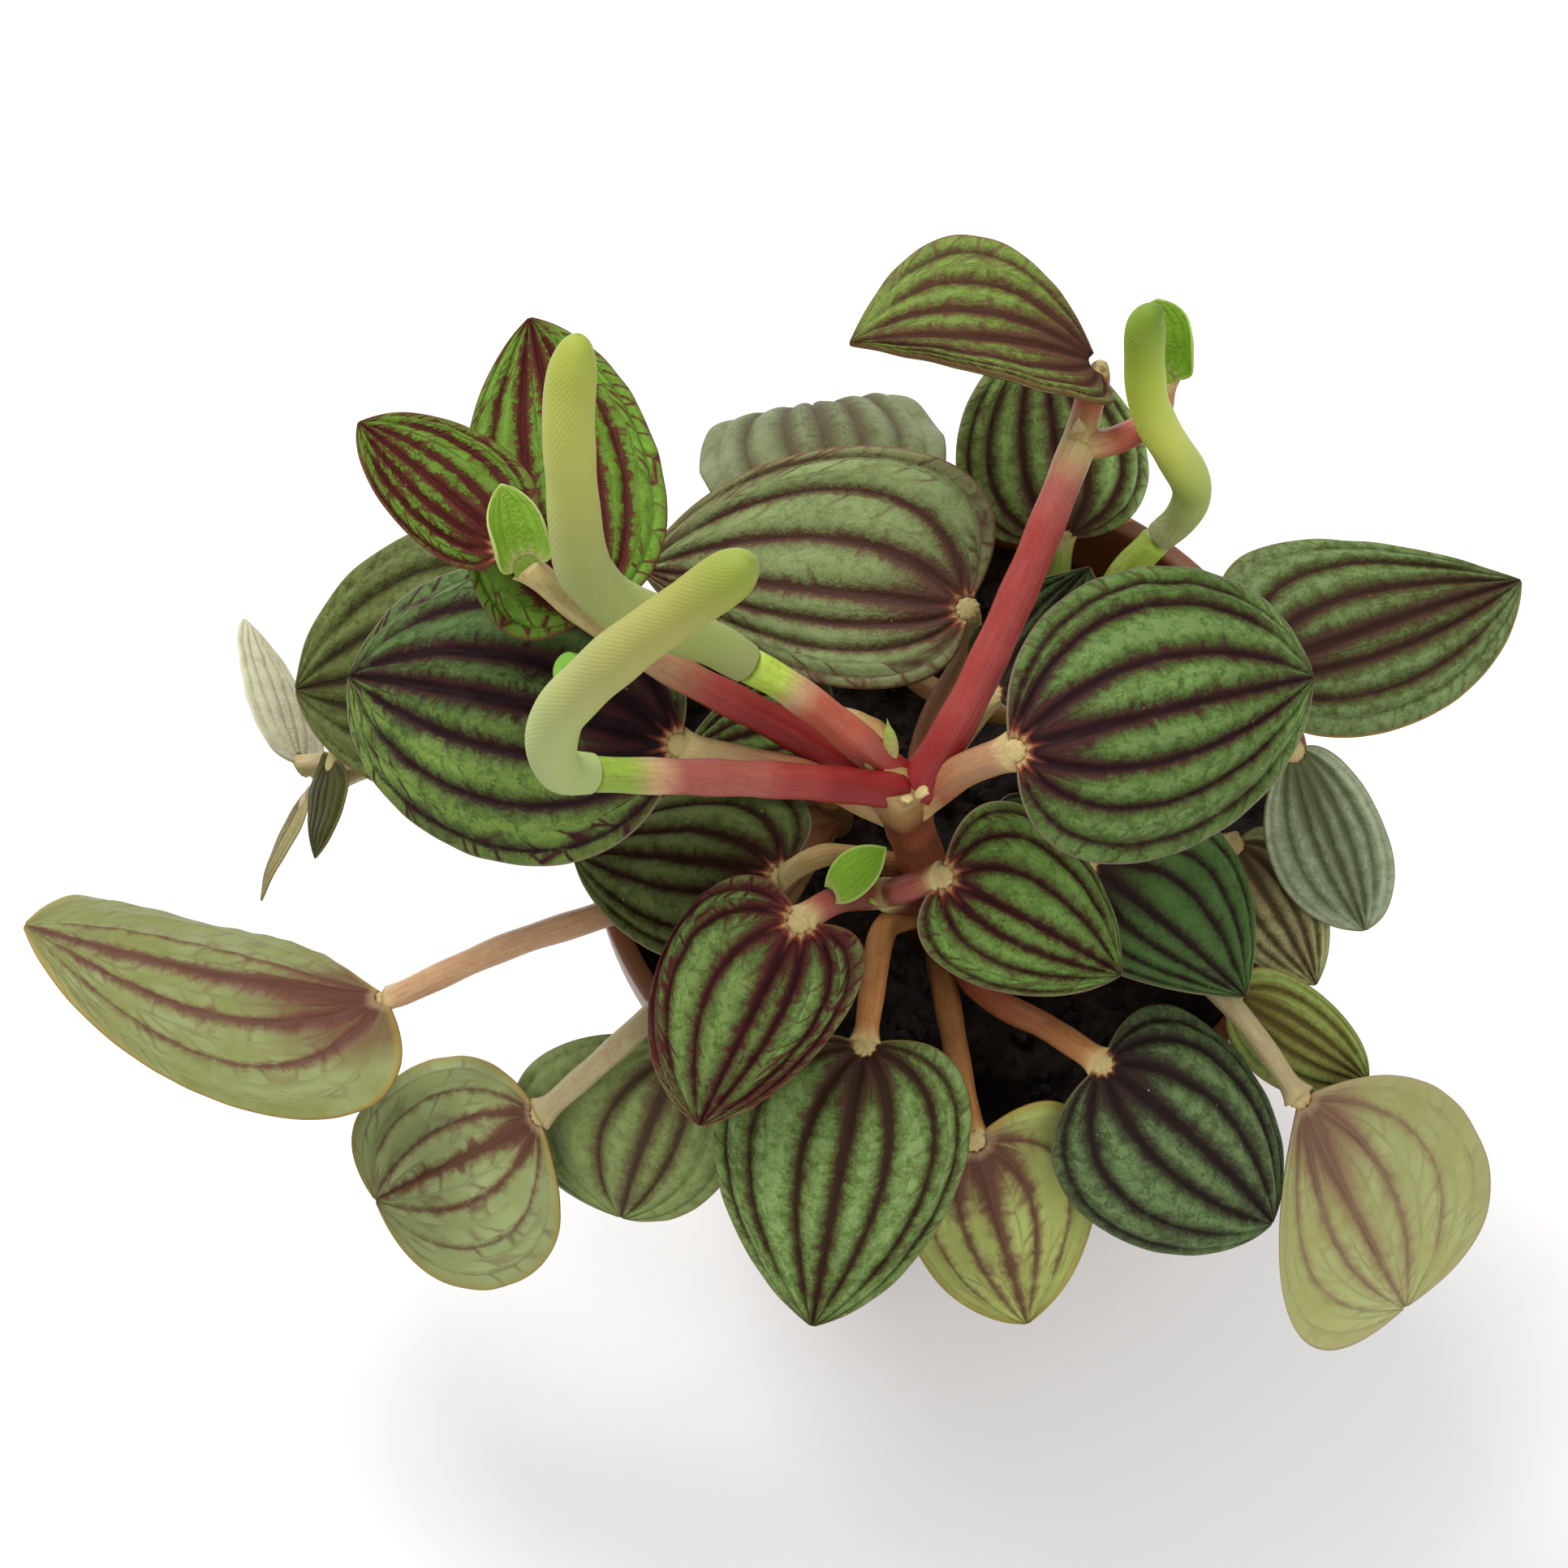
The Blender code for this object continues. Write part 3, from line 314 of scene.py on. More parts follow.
def smoothPath(points, step, cuts=16):
    # a Catmull-Rom curve through the points, cut evenly every step mm; also gives the mm run so far
    given = np.array(points, float)
    ends = np.vstack([2 * given[0] - given[1], given, 2 * given[-1] - given[-2]])
    before, start, stop, after = ends[:-3, None], ends[1:-2, None], ends[2:-1, None], ends[3:, None]
    t = np.linspace(0, 1, cuts, endpoint=False)[None, :, None]
    curve = 0.5 * (2 * start + (stop - before) * t + (2 * before - 5 * start + 4 * stop - after) * t**2
                   + (3 * start - before - 3 * stop + after) * t**3)
    curve = np.vstack([curve.reshape(-1, 3), given[-1]])
    run = runSoFar(curve)
    even = np.linspace(0, run[-1], max(4, int(round(run[-1] / step)) + 1))
    return np.stack([np.interp(even, run, curve[:, i]) for i in range(3)], 1), even


def ringedTube(path, radii, sides):
    # circles carried along the path: P = path + r (cos a side + sin a other), both across the tangent,
    # side square to the direction in which the path bends least; radii is (rings, 1) or (rings, sides)
    tangent = unitRows(np.gradient(path, axis=0))
    flattest = np.linalg.svd(tangent, full_matrices=False)[2][2]
    side = unitRows(np.cross(tangent, flattest))
    other = np.cross(tangent, side)
    a = np.linspace(0, math.tau, sides, endpoint=False)
    ring = np.cos(a)[None, :, None] * side[:, None] + np.sin(a)[None, :, None] * other[:, None]
    points = path[:, None] + radii[:, :, None] * ring
    return np.concatenate([points.reshape(-1, 3), path[:1], path[-1:]])


class Wire:
    # a shader socket that can stand in a sum: each sum adds one Math node
    def __init__(self, tree, socket):
        self.tree, self.socket = tree, socket

    def maths(self, operation, *values):
        return addNode(self.tree, "ShaderNodeMath", {"operation": operation}, dict(enumerate(values)))

    def __add__(self, other):
        return self.maths("ADD", self, other)

    def __radd__(self, other):
        return self.maths("ADD", other, self)

    def __sub__(self, other):
        return self.maths("SUBTRACT", self, other)

    def __rsub__(self, other):
        return self.maths("SUBTRACT", other, self)

    def __mul__(self, other):
        return self.maths("MULTIPLY", self, other)

    def __rmul__(self, other):
        return self.maths("MULTIPLY", other, self)

    def __truediv__(self, other):
        return self.maths("DIVIDE", self, other)

    def size(self):
        return self.maths("ABSOLUTE", self)

    def part(self):
        return self.maths("FRACT", self)

    def held(self):
        # kept between 0 and 1
        return self.maths("MINIMUM", self.maths("MAXIMUM", self, 0.0), 1.0)

    def rise(self, start, slope):
        # 0 up to start, and up to 1 from there
        return ((self - start) * slope).held()

    def fall(self, end, slope):
        # 0 from end on, and up to 1 before it
        return ((end - self) * slope).held()

    def below(self, end, width):
        # as fall, but with the width of the slope
        return ((end - self) / width).held()


def addNode(tree, kind, settings=None, inputs=None, output=0):
    # one node: its settings first, then the values or links of its sockets
    made = tree.nodes.new(kind)
    for key, value in (settings or {}).items():
        setattr(made, key, value)
    for key, value in (inputs or {}).items():
        if isinstance(value, Wire):
            tree.links.new(value.socket, made.inputs[key])
        elif isinstance(value, tuple):
            made.inputs[key].default_value = (*value, 1.0)
        else:
            made.inputs[key].default_value = value
    return Wire(tree, made.outputs[output])


class Finish:
    # a material of one Principled shader, and the few kinds of node that the plant's surfaces need
    def __init__(self, name, roughness, specular):
        self.material = bpy.data.materials.new(name)
        self.material.use_nodes = True
        self.tree = self.material.node_tree
        self.shader = self.tree.nodes["Principled BSDF"]
        self.shader.inputs["Roughness"].default_value = roughness
        self.shader.inputs["Specular IOR Level"].default_value = specular

    def attribute(self, name):
        return addNode(self.tree, "ShaderNodeAttribute", {"attribute_name": name}, output="Vector")

    def split(self, source):
        parted = addNode(self.tree, "ShaderNodeSeparateXYZ", inputs={0: source}).socket.node
        return [Wire(self.tree, socket) for socket in parted.outputs]

    def join(self, x, y, z):
        return addNode(self.tree, "ShaderNodeCombineXYZ", inputs={0: x, 1: y, 2: z})

    def place(self):
        # the point in the object's own coordinates, in mm
        source = addNode(self.tree, "ShaderNodeTexCoord", output="Object")
        values = {0: source, "Scale": 1 / mm}
        return addNode(self.tree, "ShaderNodeVectorMath", {"operation": "SCALE"}, values)

    def noise(self, where, scale, detail=2.0, roughness=0.5):
        values = {"Vector": where, "Scale": scale, "Detail": detail, "Roughness": roughness}
        return addNode(self.tree, "ShaderNodeTexNoise", inputs=values)

    def cells(self, where, scale, feature="F1"):
        values = {"Vector": where, "Scale": scale}
        return addNode(self.tree, "ShaderNodeTexVoronoi", {"feature": feature}, values)

    def cracks(self, where, scale):
        # the way to the nearest border between cells
        return self.cells(where, scale, "DISTANCE_TO_EDGE")

    def mix(self, share, first, second, mode="MIX"):
        settings = {"data_type": "RGBA", "blend_type": mode, "clamp_factor": True}
        return addNode(self.tree, "ShaderNodeMix", settings, {0: share, 6: first, 7: second}, output=2)

    def times(self, colour, factor):
        return self.mix(1.0, colour, factor, "MULTIPLY")

    def coats(self, colour, *coats):
        # each coat is a share and a colour, laid over what is there
        for share, coat in coats:
            colour = self.mix(share, colour, coat)
        return colour

    def paint(self, colour, roughness=None, bump=None, strength=0.5):
        # the bump is a height in mm
        if bump:
            values = {"Height": bump, "Strength": strength, "Distance": mm}
            bump = addNode(self.tree, "ShaderNodeBump", inputs=values)
        for key, wire in (("Base Color", colour), ("Roughness", roughness), ("Normal", bump)):
            if wire:
                self.tree.links.new(wire.socket, self.shader.inputs[key])
        return self.material


# How the upper face of a blade looks. light, green and deep are the greens from a cell's middle to the
# bands, light being partly a painted sheen on the swollen cell middles; halo and core colour the bands,
# band widens them and feather frays them, cross darkens the cross veins, whose net has netScale cells a
# mm, pale and flush are the shares of light islands (partly painted sheen) and of maroon, jointShade is a
# dark zone in mm and root the mm in which the bands widen to the joint, seam is the share of a maroon
# margin that is seamReach mm wide, soft is how gently a band ends, and glow is a brighter green for
# the left half alone, painted light where more light falls on that side of the domed blade
def look(light, green, halo, **given):
    mixed = tuple(0.6 * a + 0.4 * b for a, b in zip(green, halo))
    form = dict(light=light, green=green, halo=halo, deep=mixed, core=tuple(0.5 * value for value in halo),
                margin=(0.19, 0.14, 0.09), joint=(0.4, 0.27, 0.12), blush=(0.23, 0.055, 0.025), glow=None,
                band=1.0, feather=0.75, cross=0.7, pale=0.85, flush=0.2, jointShade=8.0, roughness=0.48,
                seam=0.45, seamReach=0.9, knot=0.9, root=11.0, soft=0.8, coreWidth=0.55, netScale=0.3,
                tipShade=0.5)
    form.update(given)
    return SimpleNamespace(**form)


# What the blades with faint veins share
calm = dict(cross=0.0, flush=0.0, seam=0.0, jointShade=0.0, feather=0.3, soft=1.0)
leafLooks = {
    "crisp": look((0.15, 0.24, 0.07), (0.058, 0.112, 0.02), (0.042, 0.011, 0.011),
        core=(0.012, 0.003, 0.004), jointShade=10, band=1.15, feather=0.95),
    "purple": look((0.19, 0.29, 0.08), (0.078, 0.135, 0.028), (0.066, 0.011, 0.012),
        core=(0.022, 0.003, 0.004), band=1.05, feather=1.05, cross=1.5, netScale=0.36, seam=0.95,
        seamReach=2.2, margin=(0.16, 0.06, 0.03), jointShade=6),
    "bright": look((0.175, 0.31, 0.07), (0.085, 0.155, 0.028), (0.054, 0.012, 0.01),
        core=(0.02, 0.003, 0.004), band=0.9, cross=0.8, jointShade=4, root=7, feather=0.85),
    "broad": look((0.1, 0.17, 0.048), (0.045, 0.085, 0.018), (0.034, 0.008, 0.009),
        core=(0.01, 0.003, 0.005), glow=(0.16, 0.25, 0.048), jointShade=13, root=16, band=1.2,
        feather=0.9, cross=1.25, netScale=0.24),
    "rear": look((0.13, 0.165, 0.046), (0.06, 0.078, 0.014), (0.04, 0.028, 0.01), cross=0.5,
        margin=(0.2, 0.14, 0.04), soft=1, band=1.2),
    "young": look((0.14, 0.28, 0.032), (0.09, 0.185, 0.016), (0.084, 0.016, 0.012),
        core=(0.05, 0.006, 0.007), band=1.05, feather=1.1, flush=0.12, margin=(0.12, 0.04, 0.02),
        jointShade=6, root=9, cross=1.2, soft=0.35, tipShade=0.95, netScale=0.42, seam=0.7),
    "fresh": look((0.18, 0.265, 0.05), (0.112, 0.165, 0.03), (0.082, 0.03, 0.018), band=1.45, feather=0.9,
        flush=0.1, seam=0.5, margin=(0.14, 0.06, 0.03), jointShade=3, knot=0, soft=0.9, tipShade=0.8),
    "back": look((0.3, 0.46, 0.13), (0.16, 0.245, 0.06), (0.085, 0.042, 0.026), core=(0.045, 0.02, 0.014),
        band=1.3, flush=0.1, jointShade=4, knot=0.3, soft=0.9),
    # painted sheen: the pale grey-green cells stand in for light reflected off this tilted blade; its maroon
    # bands and margin are its own
    "veiledSheen": look((0.23, 0.292, 0.12), (0.165, 0.215, 0.076), (0.092, 0.038, 0.026),
        core=(0.056, 0.024, 0.018), feather=0.85, cross=1, flush=0.08, margin=(0.13, 0.055, 0.03),
        seam=0.95, seamReach=2.3, jointShade=10, root=14, netScale=0.22, soft=0.9),
    # painted sheen: the pale grey-green of this hanging blade stands in for light reflected off it
    "hazySheen": look((0.16, 0.185, 0.088), (0.135, 0.156, 0.07), (0.082, 0.068, 0.032),
        core=(0.074, 0.058, 0.03), band=1.7, cross=0.2, flush=0, margin=(0.13, 0.1, 0.05), seam=0.3,
        jointShade=0, knot=0, soft=1.3, tipShade=0),
    "ghost": look((0.52, 0.515, 0.35), (0.48, 0.47, 0.3), (0.42, 0.395, 0.245), core=(0.4, 0.38, 0.24),
        band=0.8, margin=(0.5, 0.46, 0.32), knot=0, **calm),
    "moss": look((0.046, 0.048, 0.007), (0.038, 0.04, 0.005), (0.034, 0.03, 0.006), band=0.8,
        margin=(0.14, 0.12, 0.04), knot=0, **calm),
    "straw": look((0.26, 0.226, 0.098), (0.225, 0.192, 0.078), (0.18, 0.14, 0.055), band=0.8,
        margin=(0.3, 0.24, 0.1), knot=0, **calm),
    "plain": look((0.15, 0.215, 0.08), (0.066, 0.098, 0.022), (0.05, 0.02, 0.013), band=1.4, cross=0.4,
        feather=0.6, margin=(0.26, 0.15, 0.04), flush=0.1, jointShade=4, knot=0.3, soft=0.9,
        tipShade=0.3),
    # painted sheen: the pale grey-green of this hanging blade stands in for light reflected off it
    "grey": look((0.31, 0.35, 0.225), (0.24, 0.29, 0.165), (0.095, 0.11, 0.048), core=(0.08, 0.09, 0.04),
        band=1.1, cross=0.1, flush=0, seam=0.1, jointShade=7, knot=0, feather=0.3,
        margin=(0.17, 0.14, 0.07), soft=1.4),
    "olive": look((0.365, 0.4, 0.18), (0.31, 0.31, 0.125), (0.115, 0.076, 0.034), band=1.05, cross=0.1,
        flush=0.05, seam=0.1, jointShade=7, knot=0, feather=0.4, soft=1.3),
    # painted shade: darker greens for the small blades that lie under the crown
    "shade": look((0.076, 0.15, 0.038), (0.05, 0.104, 0.024), (0.03, 0.016, 0.012), band=0.9, cross=0.3,
        knot=0.3, soft=0.9),
    "dark": look((0.14, 0.208, 0.078), (0.056, 0.086, 0.029), (0.024, 0.012, 0.01), band=1.2, flush=0.05,
        cross=0.35, seam=0.3, margin=(0.12, 0.09, 0.04), jointShade=7, knot=0.3, soft=0.9),
    "front": look((0.22, 0.315, 0.11), (0.1, 0.17, 0.036), (0.054, 0.024, 0.014), flush=0.05, cross=0.75,
        margin=(0.17, 0.12, 0.04), jointShade=7, root=13, knot=0.2, tipShade=0.7, feather=0.9),
    "low": look((0.21, 0.27, 0.092), (0.16, 0.205, 0.06), (0.09, 0.055, 0.028), band=1.3, cross=0.15,
        flush=0, feather=0.5, margin=(0.2, 0.15, 0.05), seam=0.1, jointShade=3, knot=0, soft=1.2),
    "gold": look((0.295, 0.375, 0.1), (0.22, 0.29, 0.065), (0.155, 0.12, 0.028), band=1.2, cross=0.3,
        flush=0.05, margin=(0.26, 0.16, 0.05), jointShade=5, knot=0, feather=0.5, soft=1.1),
    # painted shade: dark greens for a blade that lies in the shadow of the leaves above it
    "shadowed": look((0.14, 0.18, 0.056), (0.07, 0.1, 0.022), (0.032, 0.009, 0.004), cross=0.3, feather=1),
    "bud": look((0.29, 0.47, 0.06), (0.24, 0.42, 0.045), (0.24, 0.41, 0.045), deep=(0.22, 0.38, 0.036),
        core=(0.23, 0.4, 0.04), margin=(0.42, 0.47, 0.16), joint=(0.42, 0.42, 0.16),
        blush=(0.38, 0.42, 0.13), band=0.5, tipShade=0, **calm),
    "lime": look((0.185, 0.335, 0.03), (0.15, 0.29, 0.022), (0.16, 0.29, 0.024), deep=(0.15, 0.28, 0.02),
        core=(0.15, 0.285, 0.02), margin=(0.3, 0.4, 0.1), joint=(0.34, 0.35, 0.12),
        blush=(0.28, 0.34, 0.09), band=0.5, knot=0.7, tipShade=0, **calm),
}

# Half the width of each band in mm, from the midrib out; one below 0 leaves its vein bare
bandPlans = {"usual": (0.95, 0.72, 0.5, 0.2), "few": (0.95, 0.7, 0.35, -1.0), "faint": (0.5, 0.3, -1.0, -1.0)}


# The under face: pale, with soft raised veins that show dull rose, and a zone of foot mm at the joint
def underside(pale, deep, rose, **given):
    form = dict(pale=pale, deep=deep, rose=rose, band=1.0, feather=0.8, soft=0.9, root=8.0, foot=1.2,
                footColour=(0.3, 0.2, 0.11))
    form.update(given)
    return SimpleNamespace(**form)


# ridge colours the painted highlight along the middle of each raised vein
undersideLooks = {
    "under": underside((0.285, 0.335, 0.145), (0.245, 0.275, 0.105), (0.12, 0.04, 0.024),
        margin=(0.28, 0.205, 0.05), ridge=(0.15, 0.065, 0.045)),
    "wing": underside((0.2, 0.225, 0.088), (0.165, 0.175, 0.05), (0.1, 0.03, 0.018),
        margin=(0.29, 0.2, 0.045), ridge=(0.15, 0.06, 0.045), band=1.05, feather=0.65, root=16),
    "cell": underside((0.35, 0.39, 0.118), (0.29, 0.32, 0.088), (0.12, 0.042, 0.026),
        margin=(0.26, 0.19, 0.03), ridge=(0.15, 0.075, 0.05), band=1.15, feather=0.7, soft=1, root=9),
    "palest": underside((0.295, 0.32, 0.13), (0.265, 0.262, 0.092), (0.185, 0.095, 0.058),
        margin=(0.32, 0.26, 0.13), ridge=(0.25, 0.165, 0.13), band=1.1, feather=0.45, soft=1.6, root=12),
    "ghostly": underside((0.5, 0.49, 0.35), (0.46, 0.45, 0.3), (0.42, 0.39, 0.26),
        margin=(0.5, 0.46, 0.32), ridge=(0.42, 0.4, 0.27), band=0.7, feather=0.2, soft=1, root=1,
        foot=0.5, footColour=(0.4, 0.36, 0.24)),
    "pod": underside((0.25, 0.41, 0.045), (0.215, 0.37, 0.036), (0.22, 0.37, 0.04),
        margin=(0.38, 0.42, 0.14), ridge=(0.25, 0.38, 0.05), band=0.5, feather=0.2, soft=1, root=1,
        foot=3.2, footColour=(0.44, 0.42, 0.19)),
}


def bladeFields(finish):
    # the nine numbers that each point of a blade carries, three to an attribute
    return [finish.split(finish.attribute(name)) for name in ("veinFrame", "edgeFrame", "bladeFrame")]


def bandSpurs(finish, climb, sideOf, size):
    # a noise that changes along the vein but hardly away from it, so that a band frays into short spurs
    return finish.noise(finish.join(climb * size, sideOf, 0.0), 1.0, 2.0, 0.6).rise(0.50, 4.0)


def leafFinish(name, look):
    # a band lies where the way to its vein is less than the band's half width, which grows towards the
    # joint and at each spur; the core is a darker line in it; fine nets of dark lines cross the green
    finish = Finish(name, look.roughness, 0.08)
    (away, band, turn), (margin, joint, across), (along, climb, sideOf) = bladeFields(finish)
    place = finish.place()
    patch = finish.noise(place, 0.20, 2.0)
    mottle = finish.noise(place, 0.85, 3.0, 0.65)
    grain = finish.noise(place, 3.4, 2.0)
    stir, fleck = mottle - 0.5, grain - 0.5
    spur = bandSpurs(finish, climb - 0.25 * away + stir * 1.2, sideOf, 0.8)
    cross = ((turn + (patch - 0.5) * 3.2 + stir * 1.5).part() - 0.5).size() * 2.0
    near = joint.below(look.root, look.root)
    reach = band * look.band * (0.85 + near * near * 1.3 + spur * look.feather)
    wander = away + stir * 1.7 + fleck * 0.6
    halo = ((reach - wander) / look.soft + 0.5).held()
    fade = wander.below(reach + 1.3, 1.9)
    core = ((band * look.coreWidth * (0.85 + near * 0.6) - away - stir * 0.5) / 0.45 + 0.5).held()
    inner = ((away - reach - 0.1 + stir * 1.8 + fleck * 0.4) / 1.2).held()
    island = inner * ((1.35 - cross + fleck * 0.6 + stir) / 0.7).held()
    ladder = finish.join(climb - 0.4 * away + stir * 0.8, away * 0.5 + sideOf * 3.0, (patch - 0.5) * 1.5)
    outer = margin.below(5.5, 3.5)
    shown = ((patch + mottle * 0.2 + outer * 0.16 - 0.60) / 0.12).held() * (0.5 + outer * 0.4)
    line = finish.cracks(ladder, look.netScale).below(0.075, 0.07) * shown * look.cross
    fine = finish.cracks(place, 1.15).below(0.05, 0.05) * 0.15
    edge = ((look.seamReach - margin + stir * 1.2) / 0.6).held() * (1.0 - island * 0.6)
    shade = look.jointShade * (1.0 - across.size() * 0.6)
    ray = ((0.30 - away + fleck * 0.3) / 0.26).held()
    speck = finish.cells(place, 0.30)
    knot = look.knot
    bright, green = look.light, look.green
    # painted light: a brighter green towards the left half, where more light falls on that side of the domed
    # blade
    if look.glow:
        glow = (0.5 + across).held()
        bright = finish.mix(glow, bright, look.glow)
        green = finish.mix(glow * 0.6, green, look.glow)
    colour = finish.coats(
        tuple(0.8 * value for value in look.green),
        (patch.rise(0.34, 3.0), green),
        # partly painted sheen: the light green laid on the cell middles here, and by the grain two lines
        # down, stands in for highlights on the swollen panels as well as their paler tone
        (island * mottle.rise(0.28, 3.6) * look.pale, bright),
        (mottle.fall(0.45, 4.0) * 0.4, look.deep),
        (grain.rise(0.5, 2.4) * inner * 0.35, bright),
        (grain.fall(0.42, 4.0) * 0.25, look.deep),
        (fine * look.cross, look.deep),
        (fade * 0.6, look.deep),
        ((mottle - patch * 0.5).rise(0.22, 5.0) * look.flush, look.halo),
        (line, look.halo),
        (((shade - joint + stir * 6.0) / 6.0).held() * 0.75, look.halo),
        (edge * look.seam, look.halo),
        (((along - 0.94 + stir * 0.12) / 0.06).held() * look.tipShade, look.halo),
        (halo * 0.94, look.halo),
        (core * 0.9, look.core),
        (margin.below(0.28, 0.12) * 0.8, look.margin),
        (joint.below(2.6 * knot, 1.6) * ray * 0.6, look.blush),
        (((0.9 * knot - joint + ray * 0.5 * knot) / 0.6).held() * 0.85, look.blush),
        (((0.35 * knot - joint + ray * 0.6 * knot) / 0.5).held() * 0.9, look.joint),
        (speck.below(0.035, 0.02) * 0.6, (0.45, 0.43, 0.38)))
    height = grain * 0.04 + mottle * 0.12 - halo * 0.10 - line * 0.08 - core * 0.08 - fine * 0.03
    return finish.paint(colour, look.roughness + stir * 0.2 + halo * 0.12, height, 0.8)


def undersideFinish(name, look):
    # rose where the way to the vein is less than a soft, frayed band that thins towards the tip; a painted
    # highlight along the middle of each raised vein and a rose zone round the joint
    finish = Finish(name, 0.5, 0.12)
    (away, band, _), (margin, joint, across), (along, climb, sideOf) = bladeFields(finish)
    place = finish.place()
    patch = finish.noise(place, 0.2, 2.0)
    mottle = finish.noise(place, 0.8, 3.0, 0.6)
    grain = finish.noise(place, 3.0, 2.0)
    stir = mottle - 0.5
    spur = bandSpurs(finish, climb - 0.3 * away + stir * 1.2, sideOf, 0.5)
    near = joint.below(look.root, look.root)
    reach = band * look.band * (0.8 + near * near * 1.5 + spur * look.feather) * (1.0 - along * 0.35)
    rose = ((reach - away - stir * 1.7 - (grain - 0.5) * 0.6) / look.soft + 0.4).held()
    core = ((reach * 0.5 - away - stir * 0.4) / 0.5 + 0.4).held()
    ladder = finish.join(climb - 0.6 * away + stir, away * 0.45 + sideOf * 3.0, (patch - 0.5) * 1.5)
    thread = finish.cracks(ladder, 0.24).below(0.085, 0.08) * ((patch - 0.42) / 0.14).held()
    thread = thread * (0.2 + 0.6 * away.below(reach + 3.2, 3.0))
    blush = ((look.root * 0.8 - joint * (0.6 + across.size()) + stir * 4.0) / 6.0).held()
    colour = finish.coats(
        look.deep,
        (patch.rise(0.35, 3.0), look.pale),
        (mottle.rise(0.45, 3.0) * 0.35, look.pale),
        (grain.fall(0.44, 4.0) * 0.2, look.deep),
        (thread * look.feather, look.rose),
        (rose * 0.85, look.rose),
        (blush * 0.7, look.rose),
        (core * 0.6, tuple(0.62 * value for value in look.rose)),
        # painted highlight: the ridge colour along the vein's middle stands in for light on the raised vein
        (away.below(0.16, 0.14) * 0.25, look.ridge),
        (((1.0 - margin + stir * 0.6) / 0.9).held() * 0.75, look.margin),
        (((look.foot - joint + stir * 0.8) / 0.9).held() * 0.7, look.footColour))
    height = mottle * 0.12 + thread * 0.1 + rose * 0.08 + grain * 0.03
    return finish.paint(colour, 0.5 + stir * 0.15, height, 0.6)


faceFinishes = {name: leafFinish("leafFace_" + name, given) for name, given in leafLooks.items()}
backFinishes = {name: undersideFinish("leafBack_" + name, given) for name, given in undersideLooks.items()}
report("leaf finishes made")

# The relief and the veins of every blade
bladeForm = {
    "veins": (0.0, 0.36, 0.67, 0.88), "stray": 0.035, "cuts": (10, 9, 7, 6), "rowStep": 0.42,
    "lastRow": 0.994, "rib": 0.70, "marginRib": 0.45, "pucker": 0.12, "dimple": 0.12, "dimpleEvery": 5.0,
    "thickness": 0.75, "edge": 0.35, "tipThins": 0.5, "bandThins": 0.45, "notch": 1.25,
    "innerHandle": 0.33, "waves": 3.0, "crossEvery": 2.6, "slant": 0.55, "fullLength": 30.0,
}


def ofSide(value, across):
    # a pair holds the values for the left half, where across is 0 or more, and for the right half
    left, right = value if isinstance(value, tuple) else (value, value)
    return np.where(across >= 0, left, right)


def bladeAxes(shape):
    # the midrib's way, the way to the left margin and the way up, both turned about the midrib by roll
    axis = (shape.tip - shape.joint) / np.linalg.norm(shape.tip - shape.joint)
    left = np.cross((0, 0, 1), axis)
    left /= np.linalg.norm(left)
    face = np.cross(axis, left)
    turn = math.radians(shape.roll)
    return axis, math.cos(turn) * left + math.sin(turn) * face, math.cos(turn) * face - math.sin(turn) * left


def bladeOutline(shape, length, across, along):
    # cubic curves that leave the joint at across * lobes and meet the tip at across * point
    side = np.abs(across)
    inner = bladeForm["innerHandle"]
    leave = across * np.radians(ofSide(shape.lobes, across))
    arrive = across * np.radians(ofSide(shape.point, across))
    near = (inner + (ofSide(shape.reach, across) - inner) * side**2) * length
    far = (inner + (ofSide(shape.blunt, across) - inner) * side**2) * length
    back = 1 - along
    x = 3 * back**2 * along * np.cos(leave) * near + 3 * back * along**2 * (length - np.cos(arrive) * far)
    y = 3 * back**2 * along * np.sin(leave) * near + 3 * back * along**2 * np.sin(arrive) * far
    notch = back**3 * bladeForm["notch"]
    return x + along**3 * length, y, notch * np.cos(leave), notch * np.sin(leave)


def bendBlade(shape, x, y, lift, wave=0.0):
    # cups the flat blade on a cylinder along its midrib, with radius half / cup, then arches it on a
    # circle that runs from joint to tip; lift is the height above the sheet
    length = np.linalg.norm(shape.tip - shape.joint)
    radius = ofSide(shape.half, y) / np.radians(ofSide(shape.cup, y))
    y, lift = (radius - lift) * np.sin(y / radius), radius - (radius - lift) * np.cos(y / radius) + wave
    bend = math.radians(shape.arch)
    radius = length / 2 / math.sin(bend / 2)
    turn = (x / length - 0.5) * bend
    x = length / 2 + (radius + lift) * np.sin(turn)
    lift = (radius + lift) * np.cos(turn) - radius * math.cos(bend / 2)
    axis, left, face = bladeAxes(shape)
    outer = np.multiply.outer
    return shape.joint + outer(x, axis) + outer(y, left) + outer(lift, face)


def bladePoints(shape, across, along, lift, samples=41):
    # the outline, stretched to the half width, with its sides skewed to the tip, and bent into space
    length = np.linalg.norm(shape.tip - shape.joint)
    x, y, notchX, notchY = bladeOutline(shape, length, across, along)
    margins = np.array([[1.0], [-1.0]]) + np.zeros(samples)
    widest = np.abs(bladeOutline(shape, length, margins, np.linspace(0, 1, samples))[1]).max(axis=1)
    y = y * ofSide(shape.half, across) / ofSide(tuple(widest), across)
    wave = shape.wave * np.sin(math.tau * bladeForm["waves"] * along)
    wave = wave * np.abs(across) ** 3 * np.sin(math.pi * along)
    return bendBlade(shape, x + ofSide(shape.skew, across) * y + notchX, y + notchY, lift, wave)


